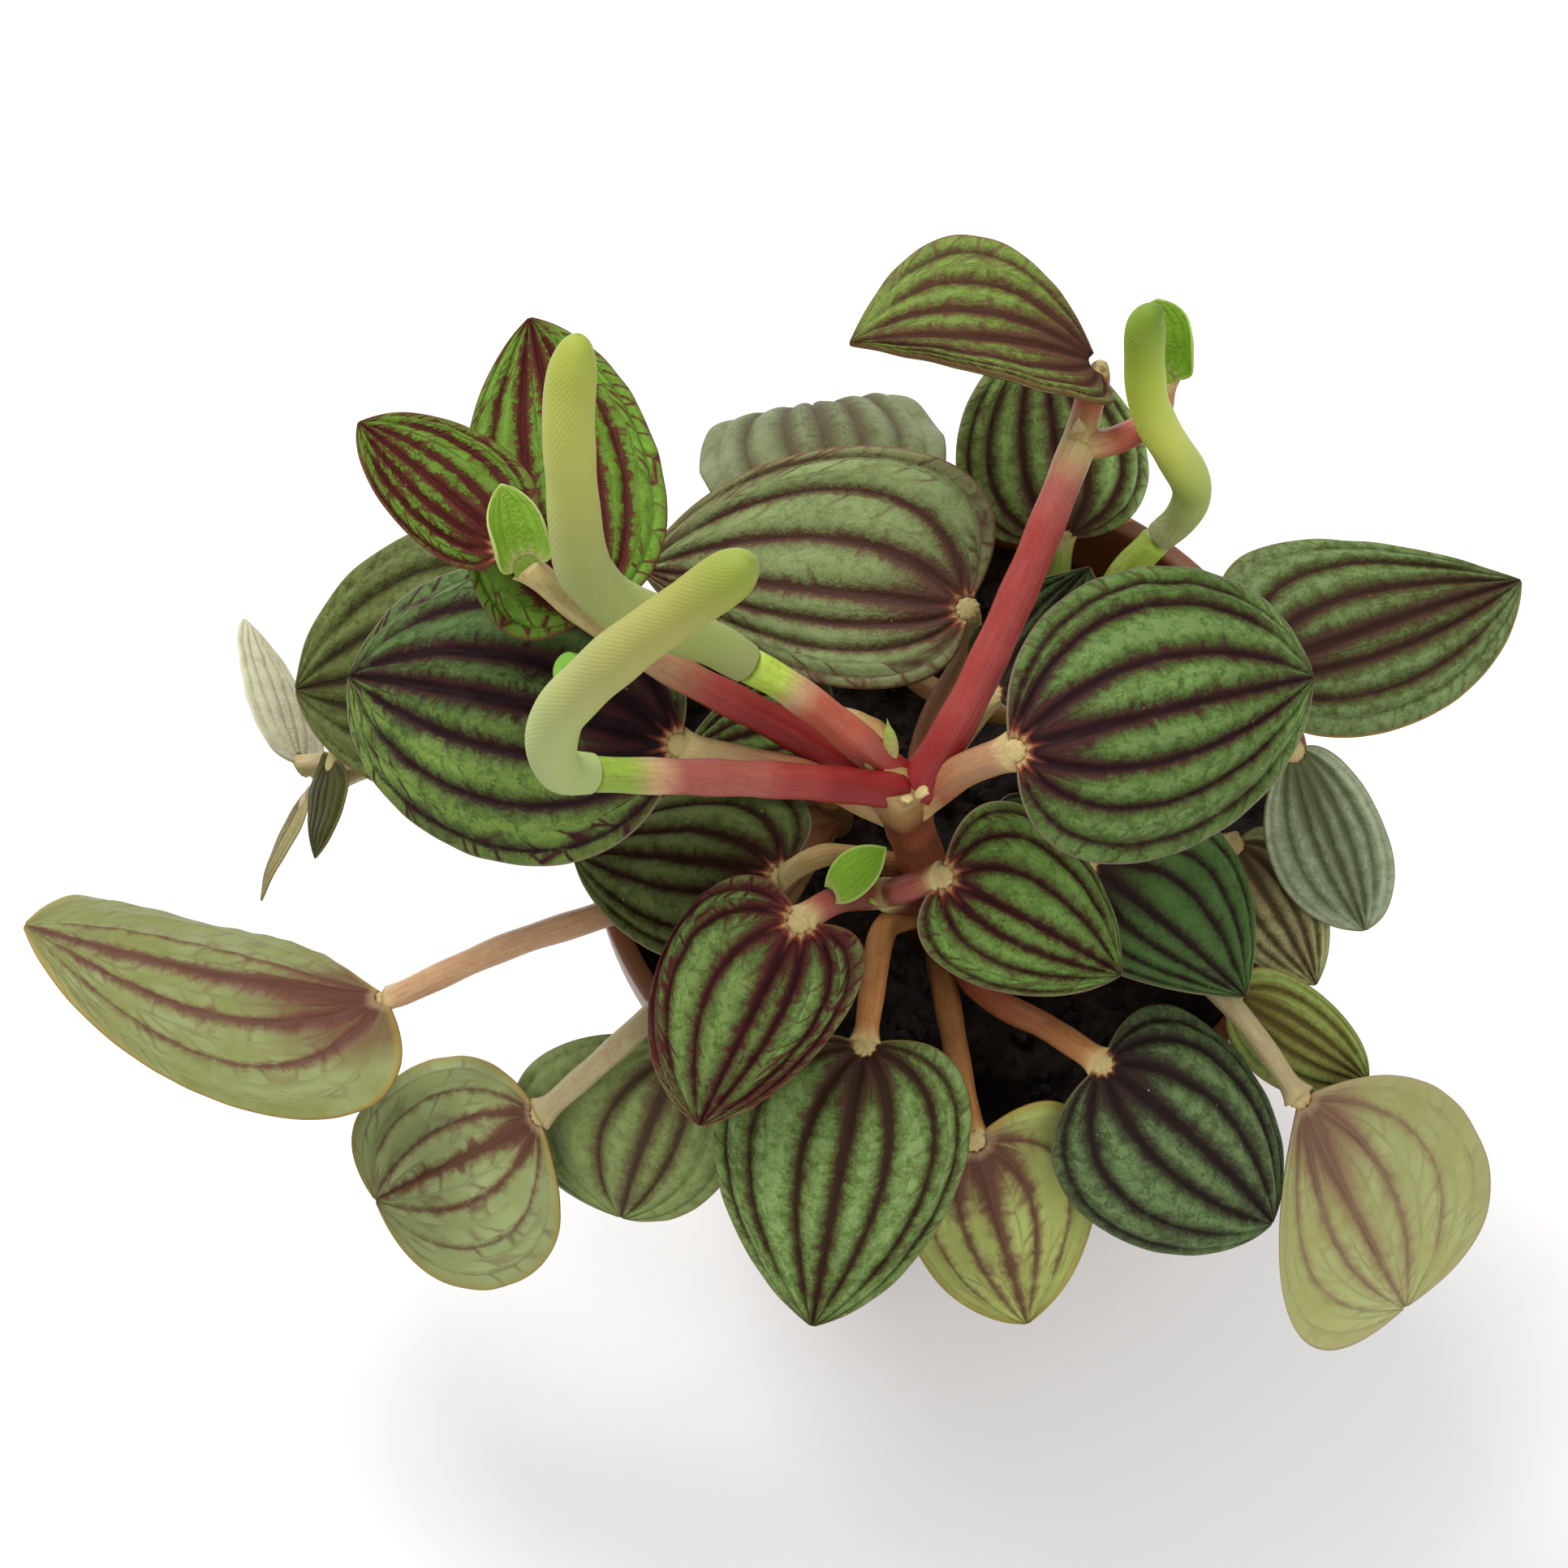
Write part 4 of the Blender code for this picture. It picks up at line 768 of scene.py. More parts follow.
def bladeLines(bands, rng):
    # the lines of a blade run from -1 at its right margin to 1 at its left; each half has its own veins, a
    # little off the usual places; gives the lines, the veins with the margins, and the bands of the veins
    form = bladeForm
    leftBands, rightBands = bands if isinstance(bands[0], tuple) else (bands, bands)
    halves = []
    for stray in rng.uniform(-form["stray"], form["stray"], (2, len(form["veins"]) - 1)):
        stops = [0.0, *(np.array(form["veins"][1:]) + stray), 1.0]
        between = [np.linspace(a, b, n, endpoint=False) for a, b, n in zip(stops, stops[1:], form["cuts"])]
        halves.append((np.concatenate([*between, [1.0]]), stops))
    (left, leftStops), (right, rightStops) = halves
    lines = np.concatenate([-right[:0:-1], left])
    stops = np.array([-stop for stop in rightStops[:0:-1]] + leftStops)
    return lines, stops, np.array([*rightBands[:0:-1], *leftBands])


def bladeFaces(rows, columns):
    # the upper sheet, the lower sheet and the rim between them; the lower sheet has the second finish
    count = rows * columns
    loop = np.concatenate([np.arange(columns), np.arange(1, rows) * columns + columns - 1,
                           np.arange(columns - 2, -1, -1) + (rows - 1) * columns,
                           np.arange(rows - 2, 0, -1) * columns])
    after = np.roll(loop, -1)
    rim = np.stack([loop, after, after + count, loop + count], -1)
    upper, lower = gridFaces(rows, columns, flip=True), gridFaces(rows, columns, first=count)
    finishOf = np.concatenate([np.zeros(len(upper)), np.ones(len(lower)), np.zeros(len(rim))])
    return np.concatenate([upper, lower, rim]).tolist(), finishOf


def makeLeaf(name, shape, seed):
    # a grid whose rows go from joint to tip and whose lines go from margin to margin, close at the veins;
    # lift = rib * sin(pi * share between two veins)^0.75, less at the cross veins, plus dimples
    form = bladeForm
    bands = bandPlans[shape.bands] if isinstance(shape.bands, str) else shape.bands
    lines, stops, strengths = bladeLines(bands, np.random.default_rng(seed))
    length = np.linalg.norm(shape.tip - shape.joint)
    rows, columns = int(np.clip(round(length / form["rowStep"]), 20, 90)), len(lines)
    along, across = np.meshgrid(np.linspace(0, form["lastRow"], rows), lines, indexing="ij")
    flat = bladePoints(shape, across, along, np.zeros_like(across))
    # mm along each row and each line, and from there the way to the nearest vein, the margin and the joint
    run, climb = runSoFar(flat, axis=1), runSoFar(flat)
    veins = stops[1:-1]
    atVein = run[:, np.searchsorted(lines, veins - 1e-9)]
    ways = np.abs(run[:, :, None] - atVein[:, None])
    nearest, away = ways.argmin(-1), ways.min(-1)
    margin = np.minimum(run, run[:, -1:] - run)
    joint = np.maximum(np.linalg.norm(flat - shape.joint, axis=2) - form["notch"], 0)
    size = min(1.0, 0.35 + 0.65 * length / form["fullLength"])
    # a band narrows towards the tip, and the outer ones end before it
    early = np.clip((along - 0.93 + 0.22 * np.abs(veins)[nearest]) / 0.15, 0, 1)
    band = strengths[nearest] * (1.0 - form["bandThins"] * along**2) * size - early
    # cross veins leave each vein towards the tip, one every few mm
    turn = (climb - form["slant"] * away) / form["crossEvery"]
    turn = turn + 0.45 * np.sin(6.3 * across + seed) + 0.37 * seed
    cusp = (2 * np.abs(turn % 1 - 0.5)) ** 3
    # the blade swells between its veins and is drawn in at its cross veins
    cell = np.clip(np.searchsorted(stops, lines, side="right") - 1, 0, len(stops) - 2)
    swell = np.sin(math.pi * np.clip((lines - stops[cell]) / (stops[cell + 1] - stops[cell]), 0, 1)) ** 0.75
    swell = swell * np.where((cell == 0) | (cell == len(stops) - 2), form["marginRib"], 1.0) * shape.relief
    opening = np.sin(math.pi * np.clip(along, 0.004, 1)) ** 0.5
    lift = form["rib"] * size * swell * opening * (1 - form["pucker"] * cusp)
    lift = lift + form["dimple"] * ripple(flat, form["dimpleEvery"], seed) * opening
    edge = form["edge"] + (1 - form["edge"]) * np.sqrt(np.clip(1 - np.abs(across) ** 8, 0, 1))
    thick = form["thickness"] * size * edge * (1 - form["tipThins"] * along**6)
    points = [bladePoints(shape, across, along, height).reshape(-1, 3) for height in (lift, lift - thick)]
    faces, finishOf = bladeFaces(rows, columns)
    # bladeFrame: the share of the way to the tip, mm along the vein, and a number for the vein's side
    sideOf = nearest * 2.0 + (run > atVein[np.arange(rows)[:, None], nearest])
    fields = {"veinFrame": (away, band, turn), "edgeFrame": (margin, joint, across),
              "bladeFrame": (along, climb, sideOf * 7.0 + seed)}
    attributes = {key: np.tile(np.stack(field, -1).reshape(-1, 3), (2, 1)) for key, field in fields.items()}
    finishes = [faceFinishes[shape.face], backFinishes[shape.back]]
    makePiece(name + "_blade", np.concatenate(points), faces, finishes, [name],
              finishOf, attributes)


for seed, (name, shape) in enumerate(leaves.items()):
    makeLeaf(name, shape, seed + 1)
report(f"{len(leaves)} leaves made")

# Stems and stalks: a colour that runs from foot to end, with fibres along it
hues = {
    "crimson": (0.185, 0.009, 0.008), "scarlet": (0.245, 0.028, 0.022), "rose": (0.28, 0.068, 0.05),
    "coral": (0.36, 0.08, 0.045), "salmon": (0.3, 0.16, 0.078), "peach": (0.42, 0.25, 0.13),
    "orange": (0.26, 0.085, 0.035), "flame": (0.42, 0.185, 0.056), "amber": (0.33, 0.15, 0.05),
    "ochre": (0.29, 0.165, 0.055), "tan": (0.33, 0.165, 0.065), "clay": (0.3, 0.09, 0.038),
    "brown": (0.06, 0.022, 0.012), "plum": (0.12, 0.03, 0.014), "olive": (0.3, 0.2, 0.072),
    "straw": (0.33, 0.27, 0.13), "cream": (0.4, 0.32, 0.13), "lime": (0.2, 0.3, 0.03),
    "neon": (0.34, 0.47, 0.05),
}
stalkForm = {"sides": 26, "step": 0.55, "ridges": 5, "ridge": 0.035, "uneven": 0.03, "jointRadius": 1.45,
             "flare": 2.4, "thicken": 0.55, "flatten": 0.6, "spread": 0.35, "sink": 0.9, "sinkLess": 0.65,
             "cream": 0.75}
padForm = {"radius": 1.32, "rays": (0.32, 0.26, 0.18, 0.08), "rayWidth": 0.16, "rise": 0.13, "rings": 10,
           "sides": 96, "top": 0.10, "bottom": -0.62}
scaleForm = {"sides": 16, "step": 0.2, "flatten": 0.55}
# Small scales and buds at the nodes: foot, tip, width, colours
nodeScales = {
    "main_stem": [((-6.8, -7.4, 100.3), (-7.4, -4.2, 103.8), 0.75, "cream lime"),
                  ((-4.6, -10.9, 101.6), (-3.4, -11.6, 103.0), 0.8, "cream cream"),
                  ((-5.6, -11.2, 101.2), (-5.4, -12.4, 102.6), 0.7, "cream cream"),
                  ((-8.4, -8.4, 100.2), (-9.6, -6.4, 102.6), 0.8, "cream lime"),
                  ((-7.4, -15.2, 86.0), (-6.2, -15.4, 88.2), 0.8, "cream straw"),
                  ((-8.2, -16.6, 86.0), (-9.0, -17.4, 88.2), 0.7, "cream lime")],
    "back_shoot": [((11.2, 22.0, 110.4), (11.0, 23.6, 112.4), 0.7, "cream straw")],
}


def stalkFinish():
    # the tint that the mesh carries, streaked by fibres along the stalk and mottled
    finish = Finish("stalkSkin", 0.42, 0.25)
    tint = finish.attribute("tint")
    x, y, run = finish.split(finish.attribute("wrap"))
    place = finish.place()
    fibre = finish.noise(finish.join(x * 2.6, y * 2.6, run * 0.22), 1.6, 3.0, 0.6)
    mottle = finish.noise(place, 0.55, 3.0)
    fine = finish.noise(place, 4.0, 2.0)
    blotch = finish.noise(place, 0.9, 3.0, 0.65)
    colour = finish.coats(
        tint,
        (fibre.rise(0.50, 3.0) * 0.5, finish.times(tint, (1.30, 1.45, 1.40))),
        (fibre.fall(0.50, 3.4) * 0.5, finish.times(tint, (0.70, 0.45, 0.45))),
        (blotch.rise(0.55, 7.0) * 0.5, finish.times(tint, (0.88, 0.50, 0.48))),
        (mottle.rise(0.56, 4.0) * 0.45, finish.times(tint, (1.25, 1.4, 1.4))))
    return finish.paint(colour, 0.36 + (fine - 0.5) * 0.25, fibre * 0.16 + fine * 0.05, 0.6)


def hueRun(words, share):
    # the colours that the words name, at even places from 0 to 1
    return blendColours([hues[word] for word in words.split()], share)


def stalkParts(given, seed):
    # a tube with five soft ridges, which thickens, flattens and turns cream where it meets its blade
    form, sides, blade = stalkForm, stalkForm["sides"], leaves.get(given.leaf)
    path, run = smoothPath([*given.points, blade.joint] if blade else given.points, form["step"])
    share = run / run[-1]
    radii = np.interp(share, [0, 1], [given.startRadius, given.endRadius])
    flare = np.clip((run - run[-1] + form["flare"]) / form["flare"], 0, 1) ** 2
    if blade:
        radii = radii + (form["jointRadius"] * blade.slim - given.endRadius) * flare * form["thicken"]
    a = np.linspace(0, math.tau, sides, endpoint=False)
    ridges = form["ridge"] * np.sin(form["ridges"] * a + seed)[None]
    uneven = form["uneven"] * np.sin(run * 0.9 + seed)[:, None]
    tube = ringedTube(path, radii[:, None] * (1 + ridges + uneven), sides)
    tint = hueRun(given.colours, perPoint(share, sides))
    if blade:
        _, left, face = bladeAxes(blade)
        spread, away = perPoint(flare, sides), tube - perPoint(path, sides)
        sink = (form["sink"] - form["sinkLess"] * blade.slim) * spread
        tube = tube - np.outer(form["flatten"] * spread * (away @ face), face)
        tube = tube + np.outer(form["spread"] * spread * (away @ left), left) - np.outer(sink, face)
        tint = tint + (np.array(hues["cream"]) * 1.05 - tint) * (spread * form["cream"])[:, None]
    around, radius = np.concatenate([np.tile(a, len(path)), [0, 0]]), perPoint(radii, sides)
    length = perPoint(run, sides) + 40 * seed
    wrap = np.stack([np.cos(around) * radius, np.sin(around) * radius, length], -1)
    return tube, tubeFaces(len(path), sides), tint, wrap


def padParts(name, seed):
    # a cream knot in the notch, whose rays reach into the veins: radius + ray * exp(-(angle / width)^2),
    # domed by 1 - share^2 and bent with the blade
    form, shape = padForm, leaves[name]
    length = np.linalg.norm(shape.tip - shape.joint)
    size = min(1.0, 0.4 + 0.6 * length / bladeForm["fullLength"]) * shape.pad
    a = np.linspace(-math.pi, math.pi, form["sides"], endpoint=False)
    lobes = np.radians(ofSide(shape.lobes, a))
    reach = form["radius"] * shape.pad * (1 - 0.08 * size + 0.04 * np.sin(11 * a + seed))
    for vein, ray in zip(bladeForm["veins"], form["rays"]):
        reach = reach + ray * size * np.exp(-((np.abs(a) - vein * lobes) / form["rayWidth"]) ** 2)
    share = np.linspace(0.12, 1, form["rings"])[:, None]
    dome = form["rise"] * (1 - share**2)
    upper, lower = dome + form["top"] - 0.32 * share**5, form["bottom"] - dome + 0.30 * share**5
    rise = np.concatenate([upper, lower[::-1]])
    r = np.concatenate([share, share[::-1]]) * reach
    grid = bendBlade(shape, r * np.cos(a), r * np.sin(a), rise * size + 0 * r).reshape(-1, 3)
    poles = np.array([form["rise"] + form["top"], form["bottom"] - form["rise"]]) * size
    points = np.concatenate([grid, bendBlade(shape, np.zeros(2), np.full(2, 1e-4), poles)])
    away = np.concatenate([r.reshape(-1), [0, 0]])[:, None]
    cream, rust, dark, lime = (np.array(hues[hue]) for hue in ("cream", "orange", "plum", "lime"))
    if shape.face in ("lime", "bud"):
        tint = lime + 0 * away
    else:
        tint = cream + (rust - cream) * np.clip((away - 0.9) / 0.7, 0, 1) ** 1.5
        tint = tint + (dark - tint) * np.clip((away - 1.5) / 0.6, 0, 1) * 0.85
    wrap = np.concatenate([points[:, :2], np.full((len(points), 1), 7.0 * seed)], 1)
    return points, [face[::-1] for face in tubeFaces(2 * form["rings"], form["sides"])], tint, wrap


def scaleParts(base, tip, width, words, seed):
    # a small pointed scale: a flattened tube of radius width * (0.25 + 0.75 sin(pi t^0.7)), closed at its tip
    base, tip, sides = np.array(base), np.array(tip), scaleForm["sides"]
    path, run = smoothPath([base, (base + tip) / 2 + (0, 0, 0.15 * width), tip], scaleForm["step"])
    share = run / run[-1]
    radii = width * (0.25 + 0.75 * np.sin(math.pi * share**0.7)) * np.clip((1.02 - share) * 3, 0.03, 1)
    tube = ringedTube(path, radii[:, None], sides)
    normal = unitRows(np.cross(tip - base, np.cross((0, 0, 1.0), tip - base) + 1e-3))
    away = (tube - perPoint(path, sides)) @ normal
    tube = tube - np.outer(scaleForm["flatten"] * away, normal)
    wrap = np.stack([tube[:, 0], tube[:, 1], perPoint(run, sides) + 9 * seed], -1)
    return tube, tubeFaces(len(path), sides), hueRun(words, perPoint(share, sides)), wrap


def joinParts(parts):
    # one mesh of all parts; the faces of each count on from the points before it
    points, faces, tints, wraps, first = [], [], [], [], 0
    for tube, quads, tint, wrap in parts:
        points.append(tube)
        faces += [[i + first for i in face] for face in quads]
        tints.append(tint)
        wraps.append(wrap)
        first += len(tube)
    return np.concatenate(points), faces, {"tint": np.concatenate(tints), "wrap": np.concatenate(wraps)}


stalkSkin = stalkFinish()
for number, (name, stalks) in enumerate(shoots.items()):
    seeds = range(number * 30, number * 30 + len(stalks))
    parts = [stalkParts(given, seed) for seed, given in zip(seeds, stalks)]
    parts += [padParts(given.leaf, seed) for seed, given in zip(seeds, stalks) if given.leaf]
    parts += [scaleParts(*scale, i) for i, scale in enumerate(nodeScales.get(name, []))]
    points, faces, attributes = joinParts(parts)
    makePiece(name + "_stalks", points, faces, [stalkSkin], [name], attributes=attributes)
report("stems and stalks made")

# Flower spikes: fleshy, covered with florets in crossed spirals
spikeForm = {"sides": 112, "step": 0.13, "spirals": 31, "pitch": 0.34, "relief": 0.04, "foot": 0.75,
             "narrows": 0.12, "taper": 0.91, "wobble": 0.1, "wobbleEvery": 7.0, "budStep": 0.2}
# Colours from foot to tip
spikeDress = {
    "spike_centre": [(0.24, 0.26, 0.09), (0.27, 0.31, 0.08), (0.31, 0.33, 0.11), (0.38, 0.39, 0.09),
                     (0.29, 0.33, 0.04)],
    "spike_left": [(0.31, 0.37, 0.14), (0.33, 0.37, 0.14), (0.32, 0.31, 0.1), (0.32, 0.3, 0.07),
                   (0.22, 0.27, 0.03)],
    "spike_right": [(0.3, 0.32, 0.13), (0.31, 0.37, 0.09), (0.47, 0.5, 0.09), (0.33, 0.4, 0.04),
                    (0.12, 0.2, 0.01)],
    "bud_left": [(0.14, 0.32, 0.02), (0.18, 0.4, 0.03)],
}


def spikeFinish(name, speckled):
    # the tint of the mesh, with painted shade between the florets and a painted highlight on each floret's
    # crown, with brown specks on a ripe spike's foot
    finish = Finish(name, 0.55, 0.3)
    tint = finish.attribute("tint")
    crown, ripe, _ = finish.split(finish.attribute("wrap"))
    place = finish.place()
    mottle = finish.noise(place, 0.6, 3.0)
    grain = finish.noise(place, 5.0, 2.0)
    colour = finish.coats(
        # painted shade between the florets, then a painted highlight on each floret's crown
        finish.times(tint, (0.90, 0.93, 0.80)),
        ((crown * 1.2 - 0.2).held() * 0.5, finish.times(tint, (1.14, 1.12, 1.2))),
        (mottle.rise(0.5, 3.0) * 0.3, finish.times(tint, (0.8, 0.9, 0.6))))
    if speckled:
        colour = finish.coats(
            colour,
            (grain.rise(0.52, 6.0) * ripe * 0.65, (0.16, 0.10, 0.06)),
            (grain.fall(0.46, 6.0) * ripe * 0.5, (0.42, 0.42, 0.36)))
    return finish.paint(colour, bump=grain * 0.06 + crown * 0.05, strength=0.7)


spikeSkin, budSkin = spikeFinish("spikeSkin", True), spikeFinish("budSkin", False)


def makeSpike(name, points, radius, relief, step, skin):
    # r = radius * foot swell * round tip + relief * |sin(n a + k z) sin(n a - k z)|^0.6
    form, sides = spikeForm, spikeForm["sides"]
    path, run = smoothPath(points, step)
    share = run / run[-1]
    end = np.clip((share - form["taper"]) / (1 - form["taper"]), 0, 0.998)
    swollen = form["foot"] + (1 - form["foot"]) * np.minimum(1, share * 4)
    radii = radius * swollen * (1 - form["narrows"] * share) * np.sqrt(1 - end**2)
    a = np.linspace(0, math.tau, sides, endpoint=False)
    up, turned = math.pi * run[:, None] / form["pitch"], form["spirals"] * a[None] / 2
    crown = np.abs(np.sin(turned + up / 2) * np.sin(turned - up / 2)) ** 0.6
    footFade, tipFade = np.clip(share * 30, 0, 1)[:, None], np.clip((1 - share) * 12, 0.1, 1)[:, None]
    florets = relief * (crown - 0.45) * footFade * tipFade
    wobble = form["wobble"] * ripple(path, form["wobbleEvery"], 3)[:, None] * (relief > 0)
    tube = ringedTube(path, radii[:, None] + florets + wobble, sides)
    tint = perPoint(blendColours(spikeDress[name], share), sides)
    ripe = np.clip(1 - share * 3.2, 0, 1) * (name == "spike_right")
    wrap = np.stack([crown, np.broadcast_to(ripe[:, None], crown.shape), 0 * crown], -1).reshape(-1, 3)
    wrap = np.concatenate([wrap, wrap[:1], wrap[-1:]])
    makePiece(name + "_florets" if relief else name + "_skin", tube, tubeFaces(len(path), sides), [skin],
              [name], attributes={"tint": tint, "wrap": wrap})


for name, points in spikes.items():
    makeSpike(name, points, spikeRadii[name], spikeForm["relief"], spikeForm["step"], spikeSkin)
for name, points in buds.items():
    makeSpike(name, points, budRadius, 0.0, spikeForm["budStep"], budSkin)
report("flower spikes made")

# The pot: a thin tapered shell with a collar and a soft lip
pot = {
    "height": 68.0, "rim": 38.0, "base": 27.0, "wall": 1.1, "floor": 1.6, "collar": 8.0, "step": 1.3,
    "corner": 0.7, "middle": 0.3, "sides": 160, "sharp": 40, "drains": 8, "drainRadius": 2.6,
    "drainCircle": 19.0, "drainSides": 32, "drainLevels": (-3.0, 0.0, 3.0, 5.0),
    # the second colour serves the wear and the painted highlight on the lip
    "brown": (0.150, 0.050, 0.016), "wearAndHighlight": (0.260, 0.105, 0.045), "roughness": 0.38,
}
soil = {
    "level": 56.5, "sink": 0.4, "rings": 110, "sides": 260, "gap": 0.3, "middle": 0.3,
    "ripples": ((0.8, 11.0, 5), (0.6, 4.0, 6), (0.3, 1.7, 8)),  # height, width and seed of each
    "crumbs": 520, "crumbSink": 0.1, "crumbSpread": 0.95, "crumbSize": (0.35, 1.25), "crumbSeed": 11,
    "dark": (0.012, 0.008, 0.006), "brown": (0.075, 0.038, 0.018), "grey": (0.060, 0.050, 0.042),
}


def potFinish():
    # plastic: lighter in soft clouds and scuffs of wear, and along the top of the lip a painted highlight,
    # with fine moulding marks
    finish = Finish("potPlastic", pot["roughness"], 0.45)
    place = finish.place()
    x, y, z = finish.split(place)
    cloud = finish.noise(place, 0.05, 3.0)
    scuff = finish.noise(finish.join(x * 0.4, y * 0.4, z * 2.2), 0.5, 4.0, 0.65)
    grain = finish.noise(place, 3.0, 2.0)
    # painted highlight: the top 1.6 mm of the lip is made lighter as if lit
    lipHighlight = ((z - (pot["height"] - 1.6)) / 1.4).held()
    colour = finish.coats(
        pot["brown"],
        (cloud.rise(0.4, 2.0) * 0.35, pot["wearAndHighlight"]),
        (lipHighlight * 0.4, pot["wearAndHighlight"]),
        (scuff.rise(0.62, 6.0) * 0.3, pot["wearAndHighlight"]))
    return finish.paint(colour, pot["roughness"] + scuff.rise(0.5, 2.0) * 0.2, grain * 0.03 + scuff * 0.03)


def potWall(height):
    # the inner radius at a height: a straight taper up to the collar
    share = height / (pot["height"] - pot["collar"])
    return pot["base"] + (pot["rim"] - pot["step"] - pot["base"]) * share - pot["wall"]


def roundCorners(profile, size, cuts=4):
    # each inner corner of the profile becomes a short curve: (1-t)^2 A + 2 t (1-t) corner + t^2 B
    p = np.array(profile, float)
    corner, before, after = p[1:-1], p[:-2], p[2:]
    reachIn = np.minimum(size, np.linalg.norm(before - corner, axis=1) / 2.2)[:, None]
    reachOut = np.minimum(size, np.linalg.norm(after - corner, axis=1) / 2.2)[:, None]
    start = corner + unitRows(before - corner) * reachIn
    stop = corner + unitRows(after - corner) * reachOut
    t = np.linspace(0, 1, cuts)[None, :, None]
    curves = (1 - t) ** 2 * start[:, None] + 2 * t * (1 - t) * corner[:, None] + t**2 * stop[:, None]
    return np.vstack([p[:1], curves.reshape(-1, 2), p[-1:]])


def turnProfile(profile, sides):
    # (r cos a, r sin a, z) for each point of the profile, which starts and ends near the axis
    a = np.linspace(0, math.tau, sides, endpoint=False)
    r, z = profile[:, :1], profile[:, 1:]
    grid = np.stack(np.broadcast_arrays(r * np.cos(a), r * np.sin(a), z), -1).reshape(-1, 3)
    ends = np.array([[0, 0, profile[0, 1]], [0, 0, profile[-1, 1]]])
    return np.concatenate([grid, ends]), tubeFaces(len(profile), sides)


def cutHoles(piece, cutters):
    # the cutters are taken out of the piece, and then removed
    bpy.context.view_layer.update()
    for cutter in cutters:
        modifier = piece.modifiers.new("hole", "BOOLEAN")
        modifier.operation, modifier.object, modifier.solver = "DIFFERENCE", cutter, "EXACT"
    graph = bpy.context.evaluated_depsgraph_get()
    carved = bpy.data.meshes.new_from_object(piece.evaluated_get(graph))
    piece.modifiers.clear()
    piece.data = carved
    for cutter in cutters:
        bpy.data.objects.remove(cutter)


def makePot():
    # the outline runs up outside from the middle of the foot, over the lip and down inside to the floor
    height, foot, below = pot["height"], pot["height"] - pot["collar"], pot["rim"] - pot["step"]
    lip = pot["rim"] - 2 * pot["wall"]
    outline = roundCorners([
        (pot["middle"], 0), (pot["base"], 0), (below, foot - 0.4), (pot["rim"] - 0.4, foot),
        (pot["rim"], height), (lip, height), (potWall(foot), foot), (potWall(pot["floor"]), pot["floor"]),
        (pot["middle"], pot["floor"])], pot["corner"])
    points, faces = turnProfile(outline, pot["sides"])
    shell = makePiece("pot_shell", points, faces, [potFinish()], ["pot"])
    cutters = []
    for i in range(pot["drains"]):
        a = math.tau * (i + 0.5) / pot["drains"]
        centre = np.array([math.cos(a), math.sin(a), 0]) * pot["drainCircle"]
        path = np.array([centre + (0, 0, level) for level in pot["drainLevels"]])
        points = ringedTube(path, np.full((len(path), 1), pot["drainRadius"]), pot["drainSides"])
        mesh = bpy.data.meshes.new("drain")
        mesh.from_pydata(points * mm, [], tubeFaces(len(path), pot["drainSides"]))
        cutters.append(addObject(f"drain_{i}", mesh))
    cutHoles(shell, cutters)
    shell.data.set_sharp_from_angle(angle=math.radians(pot["sharp"]))


def soilFinish():
    # nearly black and damp, with brown and grey crumbs
    finish = Finish("pottingSoil", 0.9, 0.25)
    place = finish.place()
    clump = finish.noise(place, 0.35, 4.0, 0.7)
    crumb = finish.noise(place, 1.6, 3.0, 0.7)
    colour = finish.coats(
        soil["dark"],
        (clump.rise(0.5, 4.0) * 0.6, soil["brown"]),
        (crumb.rise(0.58, 7.0) * 0.6, soil["grey"]))
    return finish.paint(colour, 0.8 + (crumb - 0.5) * 0.4, crumb * 0.35 + clump * 0.3, 0.9)


def soilTop(flat, ripples):
    # z = level + height * ripple, for each ripple
    z = soil["level"]
    for height, width, seed in ripples:
        z = z + height * ripple(flat, width, seed)
    return z


def makeBed(finish, edge):
    # rings of even width with every ripple on top, closed under by the pot's taper
    bottom = pot["floor"] + soil["gap"]
    foot = potWall(bottom) - 2 * soil["gap"]
    r = np.linspace(soil["middle"], edge, soil["rings"])[:, None]
    a = np.linspace(0, math.tau, soil["sides"], endpoint=False)[None]
    flat = np.stack([r * np.cos(a), r * np.sin(a), 0 * r * a], -1)
    z = soilTop(flat, soil["ripples"]) - soil["sink"]
    top = np.stack([flat[..., 0], flat[..., 1], z], -1).reshape(-1, 3)
    under = np.stack(np.broadcast_arrays(foot * np.cos(a), foot * np.sin(a), bottom), -1).reshape(-1, 3)
    points = np.concatenate([top, under, [[0, 0, z[0].mean()], [0, 0, bottom]]])
    faces = [face[::-1] for face in tubeFaces(soil["rings"] + 1, soil["sides"])]
    makePiece("soil_bed", points, faces, [finish], ["soil"])


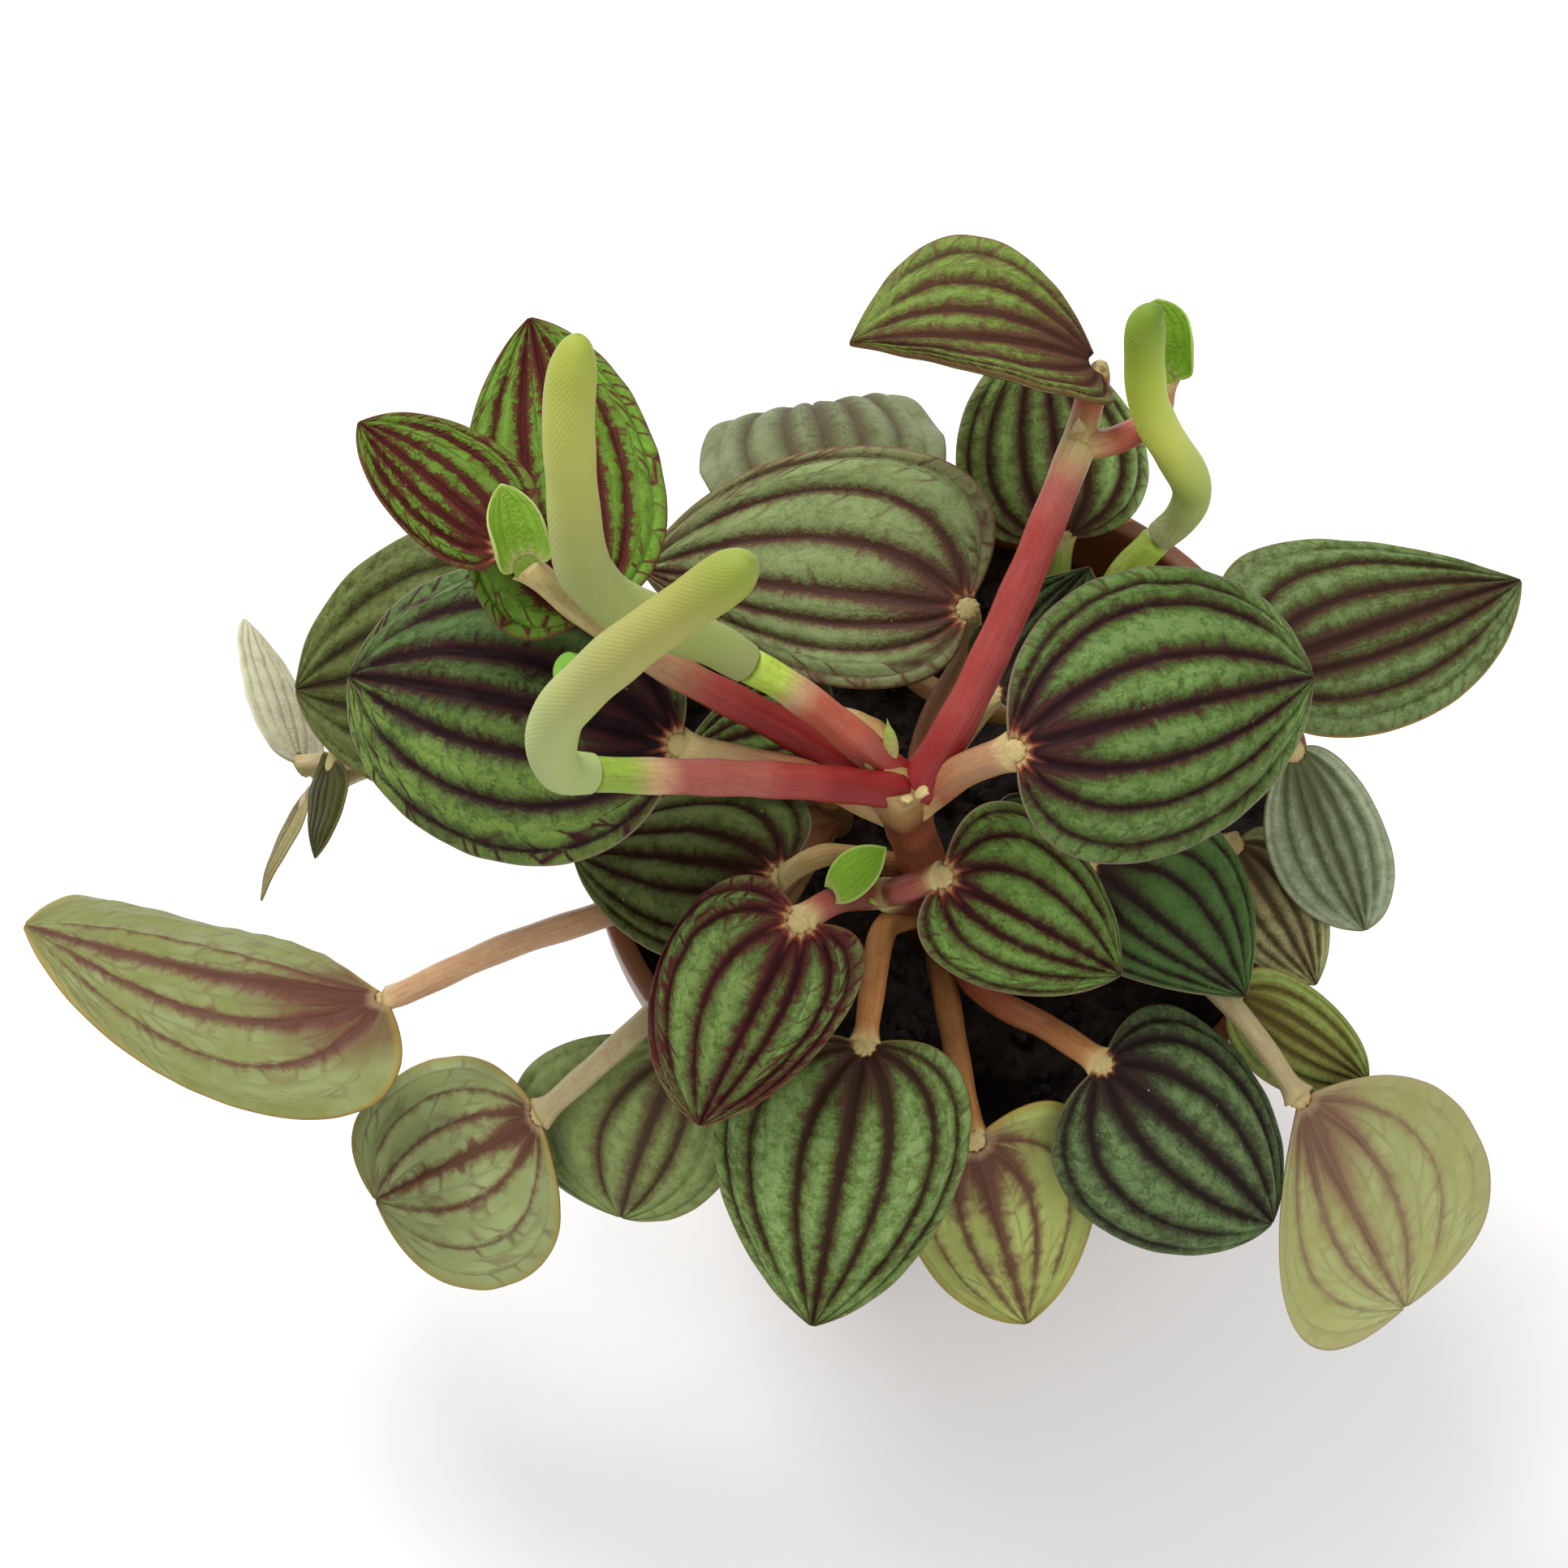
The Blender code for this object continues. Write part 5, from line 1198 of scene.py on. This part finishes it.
def makeCrumbs(finish, edge):
    # one rough lump of twenty faces, turned, sized and scattered over the two broader ripples
    g = (1 + 5**0.5) / 2
    lump = np.array([(-1, g, 0), (1, g, 0), (-1, -g, 0), (1, -g, 0), (0, -1, g), (0, 1, g), (0, -1, -g),
                     (0, 1, -g), (g, 0, -1), (g, 0, 1), (-g, 0, -1), (-g, 0, 1)]) / 1.9
    lumpFaces = np.array([(0, 11, 5), (0, 5, 1), (0, 1, 7), (0, 7, 10), (0, 10, 11), (1, 5, 9), (5, 11, 4),
                          (11, 10, 2), (10, 7, 6), (7, 1, 8), (3, 9, 4), (3, 4, 2), (3, 2, 6), (3, 6, 8),
                          (3, 8, 9), (4, 9, 5), (2, 4, 11), (6, 2, 10), (8, 6, 7), (9, 8, 1)])
    rng = np.random.default_rng(soil["crumbSeed"])
    count = soil["crumbs"]
    far = edge * soil["crumbSpread"] * np.sqrt(rng.uniform(0, 1, count))
    around = rng.uniform(0, math.tau, count)
    size = rng.uniform(*soil["crumbSize"], count) ** 1.5
    spin = np.linalg.qr(rng.normal(size=(count, 3, 3)))[0]
    spin[:, :, 0] *= np.sign(np.linalg.det(spin))[:, None]
    rough = lump[None] * rng.uniform(0.7, 1.3, (count, 12, 1)) * rng.uniform(0.6, 1.2, (count, 1, 3))
    rough = rough * size[:, None, None]
    centre = np.stack([far * np.cos(around), far * np.sin(around), 0 * far], -1)
    centre[:, 2] = soilTop(centre, soil["ripples"][:2]) - soil["crumbSink"]
    lumps = np.einsum("nij,nkj->nki", spin, rough) + centre[:, None]
    faces = (lumpFaces[None] + 12 * np.arange(count)[:, None, None]).reshape(-1, 3).tolist()
    crumbs = makePiece("soil_crumbs", lumps.reshape(-1, 3), faces, [finish])
    crumbs.data.shade_flat()


makePot()
soilSkin, soilEdge = soilFinish(), potWall(soil["level"]) - 2 * soil["gap"]
makeBed(soilSkin, soilEdge)
makeCrumbs(soilSkin, soilEdge)
report("pot and soil made")

# The stage: a pale floor, soft light and the photograph's view from above
stage = {"elevation": 70.0, "distance": 450.0, "lens": 99.53, "target": (-17.27, 1.90, 68.69),
         "halfWidth": 3.0, "floor": (0.90, 0.90, 0.90), "shade": (0.86, 0.86, 0.86), "sky": 0.72}
# The place in m, the power in watts and the size in m of each light
lights = {"keyLight": ((-0.42, 0.60, 0.92), 12.5, 0.5), "fillLight": ((0.6, -0.6, 0.9), 5.0, 0.9)}


def makeFloor():
    finish = Finish("paleFloor", 0.9, 0.1)
    cloud = finish.noise(finish.place(), 0.002, 1.0)
    finish.paint(finish.mix(cloud * 0.2, stage["floor"], stage["shade"]))
    mesh = bpy.data.meshes.new("floor")
    w = stage["halfWidth"]
    mesh.from_pydata([(-w, -w, 0), (w, -w, 0), (w, w, 0), (-w, w, 0)], [], [(0, 1, 2, 3)])
    mesh.materials.append(finish.material)
    floor = addObject("floor", mesh)


def makeLights():
    world = bpy.data.worlds.new("softSky")
    bpy.context.scene.world = world
    world.use_nodes = True
    sky = world.node_tree.nodes["Background"]
    sky.inputs["Color"].default_value = (1.0, 1.0, 1.0, 1.0)
    sky.inputs["Strength"].default_value = stage["sky"]
    for name, (place, energy, size) in lights.items():
        lamp = bpy.data.lights.new(name, "AREA")
        lamp.energy, lamp.size = energy, size
        light = addObject(name, lamp)
        light.location = place
        light.rotation_euler = (-light.location).to_track_quat("-Z", "Y").to_euler()


def makeView():
    tilt = math.radians(stage["elevation"])
    camera = bpy.data.cameras.new("view")
    camera.lens, camera.sensor_width, camera.clip_start, camera.clip_end = stage["lens"], 36.0, 0.01, 10.0
    eye = addObject("view", camera)
    back = np.array([0, -math.cos(tilt), math.sin(tilt)])
    eye.location = (np.array(stage["target"]) + back * stage["distance"]) * mm
    eye.rotation_euler = (math.pi / 2 - tilt, 0, 0)
    bpy.context.scene.camera = eye
    bpy.context.scene.view_settings.view_transform = "Standard"
    bpy.context.scene.view_settings.look = "None"


makeFloor()
makeLights()
makeView()
report("stage made")
